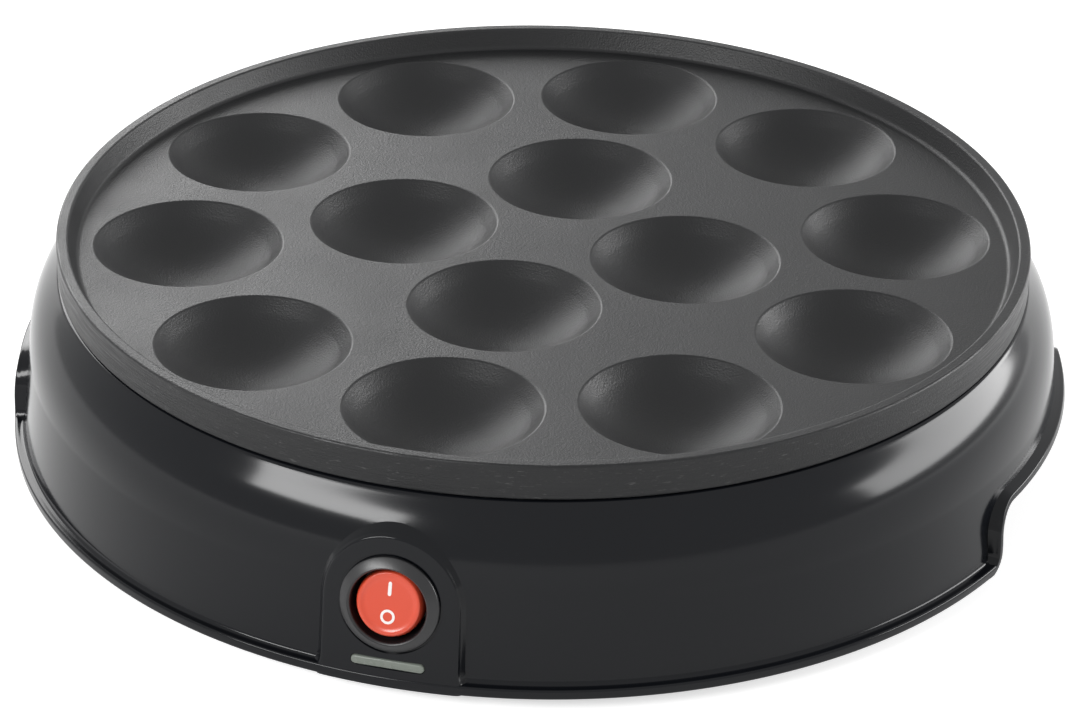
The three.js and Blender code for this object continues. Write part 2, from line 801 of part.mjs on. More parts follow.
// Control panel

function panelFaceRadius(height) {
  return flangeRadius - height * Math.tan(rad(panelLeanAngle));
}

// How far the outline's lower corners run out at a height, up to the given flare.
function flareAt(height, flare) {
  const lift = THREE.MathUtils.clamp((flangeThickness + panelFlare - height) / panelFlare, 0, 1);
  return flare * (1 - Math.sqrt(1 - lift ** 2));
}

// The tombstone's outline as (sideways, up) points, from its lower right corner round to its floor.
function panelOutline(grow, floor, flare = 0) {
  const half = panelWidth / 2 + grow;
  const heights = [floor, ...panelFlareShares.map((share) => flangeThickness + panelFlare * share)];
  const right = heights.map((height) => at(half + flareAt(height, flare), height));
  const arch = Array.from({ length: panelArchSteps + 1 }, (_, i) => {
    const turn = (Math.PI * i) / panelArchSteps;
    return at(half * Math.cos(turn), switchHeight + half * Math.sin(turn));
  });
  const left = right.map((point) => at(-point.x, point.y)).reverse();
  const base = Array.from({ length: panelFloorSteps - 1 }, (_, i) => {
    const share = (i + 1) / panelFloorSteps;
    return left.at(-1).clone().lerp(right[0], share);
  });
  return [...right, ...arch, ...left, ...base];
}

// Wraps a flat point round the skirt at a radius.
function wrapped(point, radius) {
  const turn = point.x / flangeRadius;
  return new THREE.Vector3(radius * Math.sin(turn), -radius * Math.cos(turn), point.y);
}

function panelBoss() {
  const middle = at(0, switchHeight);
  const rings = [];
  for (let k = 1; k <= panelFaceRings; k += 1) {
    const share = k / panelFaceRings;
    rings.push(panelOutline(0, 0).map((point) => {
      const moved = point.clone().lerp(middle, 1 - share);
      return wrapped(moved, panelFaceRadius(moved.y));
    }));
  }
  for (const [outShare, dropShare] of panelBandShares) {
    rings.push(panelOutline(panelBand * outShare, 0, panelFlare * outShare).map((point) => {
      const face = panelFaceRadius(point.y);
      const root = wallRadius(point.y) - panelSink;
      return wrapped(point, face + (root - face) * dropShare);
    }));
  }
  const back = wallRadius(switchHeight) - housingWall / 2;
  return loft(rings, wrapped(middle, switchRadius), wrapped(middle, back));
}

// The hollow behind the panel's face.
function panelCore() {
  const middle = at(0, switchHeight);
  const outline = panelOutline(-housingWall, flangeThickness);
  const front = outline.map((point) => wrapped(point, panelFaceRadius(point.y) - housingWall));
  const rear = outline.map((point) => wrapped(point, wallRadius(point.y) - 2 * housingWall - overrun));
  const half = outline.map((point) => point.clone().lerp(middle, 0.5));
  const frontHalf = half.map((point) => wrapped(point, panelFaceRadius(point.y) - housingWall));
  const rearPole = wrapped(middle, wallRadius(switchHeight) - 2 * housingWall - overrun);
  return loft([frontHalf, front, rear], wrapped(middle, switchRadius - housingWall), rearPole);
}

function switchFrame() {
  return new THREE.Matrix4()
    .makeRotationX(rad(rearAngle - panelLeanAngle))
    .setPosition(0, -switchRadius, switchHeight);
}

function housing() {
  let shell = join(housingShell(), panelBoss());
  for (const angle of sideAngles) {
    shell = join(shell, common(gripBlock(angle, gripLipWidth, 0), gripLipRing()));
  }
  for (const angle of baseScrewAngles) {
    const place = polar(baseScrewCircle, angle);
    const column = rod(columnRadius, columnBottom, housingHeight - housingWall / 2)
      .translate(place.x, place.y, 0);
    const reach = flangeRadius - baseScrewCircle;
    const web = slab(reach, columnWeb, trayRimHeight + 2 * seatGap, housingHeight - housingWall)
      .translate(baseScrewCircle + reach / 2, 0, 0)
      .rotateZ(rad(angle));
    shell = join(shell, column, common(web, housingEnvelope()));
  }
  shell = cut(shell, panelCore());
  for (const angle of sideAngles) shell = cut(shell, gripBlock(angle, 0, gripOuterCorner));
  for (const angle of baseScrewAngles) {
    const place = polar(baseScrewCircle, angle);
    const holeEnd = columnBottom + baseScrewGrip + seatGap;
    const hole = rod(baseScrewDiameter / 2 + seatGap, columnBottom - overrun, holeEnd);
    shell = cut(shell, hole.translate(place.x, place.y, 0));
  }
  const spot = rod(spotRadius, -spotDepth, overrun, switchSides).applyMatrix4(switchFrame());
  const hole = rod(barrelDiameter / 2 + seatGap, -2 * housingWall, overrun, switchSides)
    .applyMatrix4(switchFrame());
  const slotOutline = roundBar(lensWidth + 2 * seatGap, lensBar + 2 * seatGap);
  const slot = outwards(slotOutline, lensBack - overrun, flangeRadius + overrun, frontAngle)
    .translate(0, 0, lensHeight);
  const glandDisc = disc(glandBodyRadius + seatGap);
  const glandHole = outwards(glandDisc, shelfRadius, flangeRadius, rearAngle, glandSides)
    .translate(0, 0, glandHeight);
  return cut(shell, spot, hole, slot, glandHole);
}

// Switch pieces, in a frame whose +Z leaves the panel and whose +Y runs up it

function switchBody() {
  const cupFloor = bezelFace - cupDepth;
  const opening = bezelOpening / 2;
  const outer = bezelDiameter / 2;
  const body = revolve([
    at(0, cupFloor),
    at(opening, cupFloor),
    at(opening, bezelFace - bezelEdge),
    at(opening + bezelEdge, bezelFace),
    at((opening + outer) / 2, bezelFace - bezelEdge / 2),
    at(outer - bezelEdge, bezelSeat + bezelRim + bezelEdge / 2),
    at(outer, bezelSeat + bezelRim - bezelEdge / 2),
    at(outer, bezelSeat),
    at(barrelDiameter / 2, bezelSeat),
    at(barrelDiameter / 2, barrelEnd),
    at(0, barrelEnd),
  ], switchSides);
  const pivotHole = rod(rockerPinRadius + seatGap, -barrelDiameter, barrelDiameter)
    .rotateY(Math.PI / 2)
    .translate(0, 0, rockerPivot);
  const [wide, thick] = [bladeWidth + 2 * seatGap, bladeThickness + 2 * seatGap];
  const socket = slab(wide, thick, barrelEnd - overrun, barrelEnd + bladeSocket);
  return cut(body, pivotHole, ...bladeRows.map((row) => socket.clone().translate(0, row * bladePitch, 0)));
}

// The rocker round its own pivot, before it is pressed over.
function rocker() {
  const face = rockerPivotDepth + rockerProud;
  const cap = revolve([
    at(0, face),
    at(rockerFaceDiameter / 2, face),
    at(rockerDiameter / 2, face - rockerChamfer),
    at(rockerDiameter / 2, -rockerSkirt),
    at(0, -rockerSkirt),
  ], switchSides);
  const reach = rockerDiameter / 2 + rockerPinReach;
  return join(cap, rod(rockerPinRadius, -reach, reach).rotateY(Math.PI / 2));
}

function bladeEnd(row) {
  return new THREE.Vector3(0, row * bladePitch, bladeTip - seatGap).applyMatrix4(switchFrame());
}

function bladeSide(row, side) {
  const out = side * (bladeWidth / 2 + seatGap);
  const low = bladeTip + (barrelEnd - bladeTip) / 2;
  return new THREE.Vector3(out, row * bladePitch, low).applyMatrix4(switchFrame());
}

// Indicator lens and lamp

function lens() {
  const front = panelFaceRadius(lensHeight) + lensProud;
  const flangeBack = lensBack - lensFlangeThickness;
  const barBack = (flangeBack + lensBack) / 2;
  const bar = outwards(roundBar(lensWidth, lensBar), barBack, front + overrun, frontAngle);
  const flange = outwards(roundBar(lensFlangeWidth, lensFlangeBar), flangeBack, lensBack, frontAngle);
  return common(join(bar, flange), rod(front, -lensHeight, lensHeight, 2 * roundSides));
}

// Lamp and holder lie along their own Z axis; the holder's mouth is towards -Y.

function lamp() {
  const r = lampDiameter / 2;
  const half = lampLength / 2;
  return revolve([
    at(0, -half),
    at(r / 2, -half),
    at(r, -half + r / 2),
    at(r, half - r / 2),
    at(r / 2, half),
    at(0, half),
  ], pinSides);
}

function lampHolder() {
  const half = lampHolderLength / 2;
  const block = slab(lampHolderSide, lampHolderSide, -half, half);
  const bore = rod(lampDiameter / 2 + seatGap, -half - overrun, half + overrun);
  const mouth = slab(lampHolderMouth, lampHolderSide, -half - overrun, half + overrun);
  return cut(block, bore, mouth.translate(0, -lampHolderSide / 2, 0));
}

// Base tray

function pocketHood(angle) {
  const wallAngle = THREE.MathUtils.radToDeg(trayWall / pocketRadius);
  const block = wedge(hoodRadius, angle, pocketHalfAngle + wallAngle, trayRise, pocketCeiling + trayWall);
  return cut(block, rod(pocketRadius - trayWall, -overrun, pocketCeiling + 2 * trayWall, hiddenSides));
}

function pocketVoid(angle) {
  const block = wedge(flangeRadius, angle, pocketHalfAngle, -overrun, pocketCeiling);
  return cut(block, rod(pocketRadius, -2 * overrun, pocketCeiling + overrun, hiddenSides));
}

function screwRecess(head, seat) {
  return rod(head / 2 + screwHeadClearance, -overrun, seat + seatGap);
}

function blockLug(side) {
  const top = blockBottom + blockHeight + seatGap;
  const wallMiddle = blockPoles * blockPolePitch / 2 + seatGap + blockLugThickness / 2;
  const wall = slab(blockLugThickness, blockLugWidth, trayRise, top + blockLugThickness)
    .translate(side * wallMiddle, blockPlace, 0);
  const hook = slab(blockLugThickness + blockLugHook, blockLugWidth, top, top + blockLugThickness)
    .translate(side * (wallMiddle - blockLugHook / 2), blockPlace, 0);
  return join(wall, hook);
}

function baseTray() {
  let tray = solid(revolve([
    at(0, trayRise),
    at(trayRadius, trayRise),
    at(trayRadius, trayRimHeight),
    at(trayRadius - trayWall, trayRimHeight),
    at(trayRadius - trayWall, trayFloor),
    at(0, trayFloor),
  ]));
  const notch = slab(trayNotchWidth, 2 * trayNotchWidth, trayFloor, trayRimHeight + overrun);
  tray = cut(tray, notch.translate(0, -trayRadius, 0));
  for (const angle of sideAngles) tray = join(tray, pocketHood(angle));
  for (const angle of plateScrewAngles) {
    const place = polar(plateScrewCircle, angle);
    tray = join(tray, rod(postRadius, trayRise, shieldHeight - seatGap).translate(place.x, place.y, 0));
  }
  for (const angle of baseScrewAngles) {
    const place = polar(baseScrewCircle, angle);
    tray = join(tray, rod(padRadius, trayRise, padHeight).translate(place.x, place.y, 0));
  }
  for (const side of [-1, 1]) tray = join(tray, blockLug(side));

  for (const angle of sideAngles) tray = cut(tray, pocketVoid(angle));
  for (const angle of plateScrewAngles) {
    const place = polar(plateScrewCircle, angle);
    const hole = rod(plateScrewDiameter / 2 + seatGap, -overrun, shieldHeight + overrun);
    tray = cut(tray, hole.translate(place.x, place.y, 0));
    tray = cut(tray, screwRecess(plateScrewHead, plateScrewSeat).translate(place.x, place.y, 0));
  }
  for (const angle of baseScrewAngles) {
    const place = polar(baseScrewCircle, angle);
    const hole = rod(baseScrewDiameter / 2 + seatGap, -overrun, padHeight + overrun);
    tray = cut(tray, hole.translate(place.x, place.y, 0));
    tray = cut(tray, screwRecess(baseScrewHead, baseScrewSeat).translate(place.x, place.y, 0));
  }
  for (const angle of footAngles) {
    const place = polar(footCircle, angle);
    const hole = rod(footStemRadius + seatGap, -overrun, trayFloor + overrun);
    tray = cut(tray, hole.translate(place.x, place.y, 0));
  }
  for (let i = 0; i < ventCount; i += 1) {
    const vent = prism(roundBar(ventLength, ventWidth), -overrun, trayFloor + overrun, ventCornerSteps);
    tray = cut(tray, vent.translate(0, (i - (ventCount - 1) / 2) * ventPitch, 0));
  }
  return tray;
}

function foot() {
  const top = trayRise - seatGap;
  const barb = trayFloor + seatGap;
  return revolve([
    at(0, -footProud),
    at(footRadius - footEdge, -footProud),
    at(footRadius, footEdge - footProud),
    at(footRadius, top),
    at(footStemRadius, top),
    at(footStemRadius, barb),
    at(footBarbRadius, barb),
    at(footBarbTip, barb + footBarbHeight),
    at(0, barb + footBarbHeight),
  ], pinSides);
}

// Heat shield

function heatShield() {
  let shield = solid(revolve([
    at(shieldHoleRadius, shieldHeight),
    at(shieldRadius, shieldHeight),
    at(shieldRadius, shieldTop + shieldRimRise),
    at(shieldRadius - shieldThickness, shieldTop + shieldRimRise),
    at(shieldRadius - shieldThickness, shieldTop),
    at(shieldHoleRadius, shieldTop),
    at(shieldHoleRadius, shieldHeight),
  ], hiddenSides));
  const slot = slab(shieldSlotWidth, shieldSlotDepth, shieldHeight - overrun, shieldTop + overrun);
  shield = cut(shield, slot.translate(0, heaterCircle, 0));
  for (const angle of plateScrewAngles) {
    const place = polar(plateScrewCircle, angle);
    const hole = rod(plateScrewDiameter / 2 + seatGap, shieldHeight - overrun, shieldTop + overrun);
    shield = cut(shield, hole.translate(place.x, place.y, 0));
  }
  for (const side of [-1, 1]) {
    const place = rivetPlace(side);
    const hole = rod(rivetDiameter / 2 + seatGap, shieldHeight - overrun, shieldTop + overrun);
    shield = cut(shield, hole.translate(place.x, place.y, 0));
  }
  return shield;
}

// Thermostat pieces, round the plate's middle

function thermostat() {
  const cap = rod(thermostatCapRadius, thermostatTop - thermostatCapHeight, thermostatTop, switchSides);
  const capMiddle = thermostatTop - thermostatCapHeight / 2;
  const body = rod(thermostatBodyRadius, thermostatBottom, capMiddle, switchSides);
  const socket = slab(
    thermostatBladeWidth + 2 * seatGap,
    bladeThickness + 2 * seatGap,
    thermostatBottom - overrun,
    thermostatBottom + thermostatBladeSocket,
  );
  const half = thermostatBladePitch / 2;
  return cut(join(cap, body), socket.clone().translate(0, half, 0), socket.clone().translate(0, -half, 0));
}

function thermostatBlade(side) {
  const top = thermostatBottom + thermostatBladeSocket - seatGap;
  return slab(thermostatBladeWidth, bladeThickness, top - thermostatBladeLength, top)
    .translate(0, (side * thermostatBladePitch) / 2, 0);
}

function thermostatBladeEnd(side) {
  const height = thermostatBottom + thermostatBladeSocket - 2 * seatGap - thermostatBladeLength;
  return polar((side * thermostatBladePitch) / 2, strapTurnAngle + rearAngle, height);
}

function strap() {
  const ringTop = thermostatTop - thermostatCapHeight - seatGap;
  const earReach = strapScrewReach + strapEar;
  let shape = solid(rod(strapRingRadius, ringTop - strapThickness, ringTop, switchSides));
  for (const side of [-1, 1]) {
    const leg = slab(strapThickness, strapWidth, ringTop - strapThickness, thermostatTop);
    const ear = slab(earReach - strapRingRadius + strapThickness, strapWidth, strapEarBottom, thermostatTop);
    shape = join(
      shape,
      leg.translate(side * (strapRingRadius - strapThickness / 2), 0, 0),
      ear.translate(side * (earReach + strapRingRadius - strapThickness) / 2, 0, 0),
    );
  }
  const ringBottom = ringTop - strapThickness;
  const bore = rod(thermostatBodyRadius + seatGap, ringBottom - overrun, ringTop + overrun, switchSides);
  shape = cut(shape, bore);
  for (const side of [-1, 1]) {
    const hole = rod(smallScrewDiameter / 2 + seatGap, strapEarBottom - overrun, thermostatTop + overrun);
    shape = cut(shape, hole.translate(side * strapScrewReach, 0, 0));
  }
  return shape;
}

function smallScrew(seat) {
  const tip = seat + smallScrewGrip;
  return screw(smallScrewDiameter, smallScrewHead, smallScrewHeadHeight, seat - seatGap, tip);
}

// Thermal fuse, its clip and rivets, under the heat shield

function fuse() {
  const half = fuseLength / 2;
  const r = fuseDiameter / 2;
  return revolve([
    at(0, -half),
    at(r / 2, -half),
    at(r, -half + r / 2),
    at(r, half - r / 2),
    at(r / 2, half),
    at(0, half),
  ], pinSides).rotateX(Math.PI / 2).translate(-fusePlace, 0, fuseHeight);
}

function fuseClip() {
  const top = shieldHeight - seatGap;
  const outer = fuseDiameter / 2 + seatGap + fuseClipWall;
  const inner = fuseDiameter / 2 + seatGap;
  const feet = slab(2 * (outer + fuseClipFoot), fuseClipWidth, top - fuseClipWall, top);
  const saddle = rod(outer, -fuseClipWidth / 2, fuseClipWidth / 2)
    .rotateX(Math.PI / 2)
    .translate(0, 0, fuseHeight);
  const bore = rod(inner, -fuseClipWidth, fuseClipWidth).rotateX(Math.PI / 2).translate(0, 0, fuseHeight);
  const mouth = slab(2 * inner, 2 * fuseClipWidth, fuseHeight, shieldTop + fuseDiameter);
  const above = slab(4 * outer, 2 * fuseClipWidth, top, shieldTop + 2 * fuseDiameter);
  let clip = cut(join(feet, saddle), bore, mouth, above);
  for (const side of [-1, 1]) {
    const hole = rod(rivetDiameter / 2 + seatGap, top - fuseDiameter, top + overrun);
    clip = cut(clip, hole.translate(side * (outer + fuseClipFoot / 2), 0, 0));
  }
  return clip;
}

function rivetPlace(side) {
  const reach = fuseDiameter / 2 + seatGap + fuseClipWall + fuseClipFoot / 2;
  return new THREE.Vector3(side * reach - fusePlace, 0, 0);
}

function rivet() {
  const low = shieldHeight - seatGap - fuseClipWall - seatGap;
  const high = shieldTop + seatGap;
  return revolve([
    at(0, low - rivetHeadHeight),
    at(rivetDiameter / 2, low - rivetHeadHeight),
    at(rivetHead / 2, low - rivetHeadHeight / 2),
    at(rivetHead / 2, low),
    at(rivetDiameter / 2, low),
    at(rivetDiameter / 2, high),
    at(rivetHead / 2, high),
    at(rivetHead / 2, high + rivetHeadHeight / 2),
    at(0, high + rivetHeadHeight / 2),
  ], pinSides);
}

// Earth tag under its boss in the heater's gap

function earthTag() {
  const top = bossSeat - seatGap;
  const end = earthTagReach + earthTagThickness / 2;
  const flat = slab(earthTagWidth, earthTagReach + end, top - earthTagThickness, top)
    .translate(0, heaterCircle + (end - earthTagReach) / 2, 0);
  const blade = slab(earthTagWidth, earthTagThickness, top - earthTagDrop, top)
    .translate(0, heaterCircle + end, 0);
  const hole = rod(smallScrewDiameter / 2 + seatGap, top - earthTagDrop, top + overrun)
    .translate(0, heaterCircle, 0);
  return cut(join(flat, blade), hole);
}

function earthTagEnd() {
  const reach = heaterCircle + earthTagReach + earthTagThickness / 2;
  return new THREE.Vector3(0, reach, bossSeat - 2 * seatGap - earthTagDrop);
}

// Terminal block and leads

function polePlace(index) {
  return (index - (blockPoles - 1) / 2) * blockPolePitch;
}

function terminalBlock() {
  const body = slab(blockPoles * blockPolePitch, blockDepth, blockBottom, blockBottom + blockHeight);
  let block = solid(body.translate(0, blockPlace, 0));
  for (let i = 0; i < blockPoles; i += 1) {
    const bore = rod(blockBore / 2, -blockDepth, blockDepth, blockBoreSides)
      .rotateX(Math.PI / 2)
      .translate(polePlace(i), blockPlace, blockBoreHeight);
    const blockTop = blockBottom + blockHeight;
    const well = rod(blockScrewBore / 2, blockBoreHeight, blockTop + overrun, blockBoreSides)
      .translate(polePlace(i), blockPlace - blockDepth / 4, 0);
    block = cut(block, bore, well);
  }
  return block;
}

function poleEnd(index) {
  return new THREE.Vector3(polePlace(index), blockPlace - blockDepth / 2 + leadInsert, blockBoreHeight);
}

// A lead from one end to another, leaving each end in its direction.
function lead(from, fromWay, to, toWay, pull, diameter = leadDiameter) {
  const start = fromWay.clone().multiplyScalar(pull).add(from);
  const end = toWay.clone().multiplyScalar(pull).add(to);
  return tube(new THREE.CubicBezierCurve3(from, start, end, to), diameter, leadSteps, leadSides);
}

// Cord gland: an empty bush, its +Z out of the rear wall

function gland() {
  const seat = seatGap;
  const inside = -housingWall - glandRingStandoff;
  const bore = glandBore / 2;
  return revolve([
    at(bore, inside - glandRingThickness),
    at(glandRingRadius - glandEdge, inside - glandRingThickness),
    at(glandRingRadius, inside),
    at(glandBodyRadius, inside),
    at(glandBodyRadius, seat),
    at(glandFlangeRadius, seat),
    at(glandFlangeRadius, seat + glandFlangeThickness - glandEdge),
    at(glandFlangeRadius - glandEdge, seat + glandFlangeThickness),
    at(bore + glandEdge, seat + glandFlangeThickness),
    at(bore, seat + glandFlangeThickness - glandEdge),
    at(bore, inside - glandRingThickness),
  ], glandSides);
}

// Assembly: everything stands on the feet, so it is lifted by them

const maker = new THREE.Group();
const stand = new THREE.Group();
stand.position.z = footProud;
maker.add(stand);

const forward = new THREE.Vector3(0, -1, 0);
const backward = new THREE.Vector3(0, 1, 0);
const downward = new THREE.Vector3(0, 0, -1);
const rightward = new THREE.Vector3(1, 0, 0);
const leftward = new THREE.Vector3(-1, 0, 0);

function groupAt(position, parent) {
  const group = new THREE.Group();
  group.position.copy(position);
  parent.add(group);
  return group;
}

piece('baking_plate', bakingPlate(), 'coating', stand);
piece('heater_ring', heaterRing(), 'sheath', stand);
for (const [label, side] of [['left', -1], ['right', 1]]) {
  const end = groupAt(new THREE.Vector3(), stand);
  heaterEndFrame(side).decompose(end.position, end.quaternion, end.scale);
  piece(`heater_bush_${label}`, heaterBush(), 'ceramic', end);
  piece(`heater_pin_${label}`, heaterPin(), 'steel', end);
}

piece('housing', housing(), 'gloss', stand);
piece('base_tray', baseTray(), 'matte', stand);
piece('heat_shield', heatShield(), 'shield', stand);

const switchGroup = groupAt(new THREE.Vector3(0, -switchRadius, switchHeight), stand);
switchGroup.rotation.x = rad(rearAngle - panelLeanAngle);
piece('switch_body', switchBody(), 'gloss', switchGroup);
const rockerGroup = groupAt(new THREE.Vector3(0, 0, rockerPivot), switchGroup);
rockerGroup.rotation.x = rad(-rockerThrowAngle / 2);
piece('switch_rocker', rocker(), 'rocker', rockerGroup);
for (const row of bladeRows) {
  const blade = slab(bladeWidth, bladeThickness, bladeTip, bladeTip + bladeLength);
  piece(`switch_blade_${row + 2}`, blade.translate(0, row * bladePitch, 0), 'brass', switchGroup);
}

const lensGroup = groupAt(new THREE.Vector3(0, 0, lensHeight), stand);
piece('indicator_lens', lens(), 'lens', lensGroup);
const lampGroup = groupAt(new THREE.Vector3(0, -lampRadius, lensHeight), stand);
lampGroup.rotation.y = Math.PI / 2;
piece('indicator_lamp', lamp(), 'glass', lampGroup);
piece('lamp_holder', lampHolder(), 'matte', lampGroup);

const thermostatGroup = groupAt(new THREE.Vector3(), stand);
thermostatGroup.rotation.z = rad(strapTurnAngle);
piece('thermostat', thermostat(), 'ceramic', thermostatGroup);
piece('thermostat_blade_1', thermostatBlade(-1), 'brass', thermostatGroup);
piece('thermostat_blade_2', thermostatBlade(1), 'brass', thermostatGroup);
piece('thermostat_strap', strap(), 'steel', thermostatGroup);
[-1, 1].forEach((side, i) => {
  const place = groupAt(new THREE.Vector3(side * strapScrewReach, 0, 0), thermostatGroup);
  piece(`strap_screw_${i + 1}`, smallScrew(strapEarBottom), 'steel', place);
});

piece('thermal_fuse', fuse(), 'ceramic', stand);
piece('fuse_clip', fuseClip(), 'steel', groupAt(new THREE.Vector3(-fusePlace, 0, 0), stand));
[-1, 1].forEach((side, i) => {
  piece(`fuse_rivet_${i + 1}`, rivet(), 'steel', groupAt(rivetPlace(side), stand));
});

piece('earth_tag', earthTag(), 'brass', stand);
const earthPlace = new THREE.Vector3(0, heaterCircle, 0);
const earthScrew = smallScrew(bossSeat - seatGap - earthTagThickness);
piece('earth_screw', earthScrew, 'steel', groupAt(earthPlace, stand));
piece('terminal_block', terminalBlock(), 'ceramic', stand);

const inward = downward.clone().applyMatrix4(switchFrame().setPosition(0, 0, 0));
const fuseEnd = new THREE.Vector3(-fusePlace, fuseLength / 2 + seatGap, fuseHeight);
const fuseStart = new THREE.Vector3(-fusePlace, -fuseLength / 2 - seatGap, fuseHeight);
const tabGap = along(downward, seatGap);
const liveTab = heaterTabEnd(-1).add(tabGap);
const neutralTab = heaterTabEnd(1).add(tabGap);
const thermostatIn = thermostatBladeEnd(-1);
const thermostatOut = thermostatBladeEnd(1);
piece('lead_live', lead(poleEnd(1), forward, bladeEnd(-1), inward, longLeadPull), 'leadRed', stand);
piece('lead_lamp', lead(poleEnd(0), forward, bladeEnd(1), inward, 2 * leadPull), 'leadBlue', stand);
piece('lead_earth', lead(poleEnd(2), forward, earthTagEnd(), downward, leadPull), 'leadGreen', stand);
piece('lead_neutral', lead(poleEnd(3), forward, neutralTab, downward, leadPull), 'leadBlue', stand);
piece('lead_switched', lead(bladeEnd(0), inward, thermostatIn, downward, leadPull), 'leadRed', stand);
piece('lead_to_fuse', lead(thermostatOut, downward, fuseStart, forward, leadPull), 'leadRed', stand);
piece('lead_from_fuse', lead(fuseEnd, backward, liveTab, downward, leadPull), 'leadRed', stand);

const lampReach = lampLength / 2 + seatGap;
const lampRight = new THREE.Vector3(lampReach, -lampRadius, lensHeight);
const lampLeft = new THREE.Vector3(-lampReach, -lampRadius, lensHeight);
const lampLeads = [
  ['lamp_lead_right', lampRight, rightward, bladeSide(-1, 1)],
  ['lamp_lead_left', lampLeft, leftward, bladeSide(1, -1)],
];
for (const [name, start, way, end] of lampLeads) {
  piece(name, lead(start, way, end, way, lampLeadPull, lampLeadDiameter), 'matte', stand);
}

const glandSeat = wallRadius(glandHeight - glandFlangeRadius);
const glandGroup = groupAt(new THREE.Vector3(0, glandSeat, glandHeight), stand);
glandGroup.rotation.x = -Math.PI / 2;
piece('cord_gland', gland(), 'rubber', glandGroup);

plateScrewAngles.forEach((angle, i) => {
  const tip = shieldTop + plateScrewGrip;
  const shape = screw(plateScrewDiameter, plateScrewHead, plateScrewHeadHeight, plateScrewSeat, tip);
  piece(`plate_screw_${i + 1}`, shape, 'steel', groupAt(polar(plateScrewCircle, angle), stand));
});
baseScrewAngles.forEach((angle, i) => {
  const tip = columnBottom + baseScrewGrip - seatGap;
  const shape = screw(baseScrewDiameter, baseScrewHead, baseScrewHeadHeight, baseScrewSeat, tip);
  piece(`base_screw_${i + 1}`, shape, 'steel', groupAt(polar(baseScrewCircle, angle), stand));
});
footAngles.forEach((angle, i) => {
  piece(`foot_${i + 1}`, foot(), 'rubber', groupAt(polar(footCircle, angle), stand));
});

export default maker;
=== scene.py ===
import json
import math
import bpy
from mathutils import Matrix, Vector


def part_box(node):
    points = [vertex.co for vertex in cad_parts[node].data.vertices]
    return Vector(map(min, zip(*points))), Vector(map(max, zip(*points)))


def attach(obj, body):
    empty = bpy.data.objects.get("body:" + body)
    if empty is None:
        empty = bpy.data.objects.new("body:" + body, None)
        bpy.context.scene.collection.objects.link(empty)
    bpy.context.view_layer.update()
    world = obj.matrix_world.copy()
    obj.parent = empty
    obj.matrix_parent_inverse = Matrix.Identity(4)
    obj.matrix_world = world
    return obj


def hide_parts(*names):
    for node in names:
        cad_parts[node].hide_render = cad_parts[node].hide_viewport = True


bl_info = {
    "name": "Poffertjes maker",
    "version": (1, 0, 0),
    "blender": (4, 5, 0),
    "location": "3D View > Sidebar > Poffertjes",
    "description": "Dresses a poffertjes maker with its plate, housing, switch, feet and studio",
    "category": "Object",
}

import bmesh
import bpy
from bpy.props import FloatProperty, FloatVectorProperty, IntProperty, PointerProperty
from mathutils import Matrix, Vector

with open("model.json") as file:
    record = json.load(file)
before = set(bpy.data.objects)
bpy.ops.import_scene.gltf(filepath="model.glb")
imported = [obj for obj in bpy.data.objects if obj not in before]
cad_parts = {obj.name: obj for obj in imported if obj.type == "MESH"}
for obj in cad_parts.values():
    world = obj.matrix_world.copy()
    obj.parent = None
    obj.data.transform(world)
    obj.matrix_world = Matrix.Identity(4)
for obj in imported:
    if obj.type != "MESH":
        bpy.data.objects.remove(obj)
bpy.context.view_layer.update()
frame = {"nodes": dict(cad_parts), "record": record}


# Sizes and colours that a user would change

def length(name, description, millimetres):
    return FloatProperty(
        name=name, description=description, default=millimetres / 1000, unit="LENGTH", subtype="DISTANCE", precision=5
    )


def angle(name, description, degrees):
    return FloatProperty(
        name=name, description=description, default=math.radians(degrees), unit="ROTATION", subtype="ANGLE"
    )


def count(name, description, number):
    return IntProperty(name=name, description=description, default=number, min=3)


def colour(name, description, value):
    return FloatVectorProperty(name=name, description=description, default=value, subtype="COLOR", min=0, max=1)


class PlateSizes(bpy.types.PropertyGroup):
    radius: length("Radius", "Outside of the rim", 118.3)
    underside: length("Underside", "Height of the plate's underside above the table", 48)
    field: length("Field", "Height of the cooking field above the table", 51.6)
    rim_top: length("Rim top", "Height of the rim above the table", 56.7)
    rim_width: length("Rim width", "Flat top of the rim", 2.8)
    rim_draft: length("Rim draft", "Run of the rim's inner face", 2)
    rim_ease: length("Rim ease", "Rounding of the rim's edges", 0.7)
    well_radius: length("Well radius", "Mouth of a well", 23)
    well_depth: length("Well depth", "Depth of a well", 11)
    well_wall: length("Well wall", "Metal under a well", 2.6)
    well_lip: length("Well lip", "Rounding of a well's mouth", 0.45)
    outer_circle: length("Outer circle", "Radius of the outer ring of wells", 86.6)
    inner_circle: length("Inner circle", "Radius of the inner ring of wells", 35.6)
    outer_count: count("Outer wells", "Wells on the outer ring", 10)
    inner_count: count("Inner wells", "Wells on the inner ring", 4)


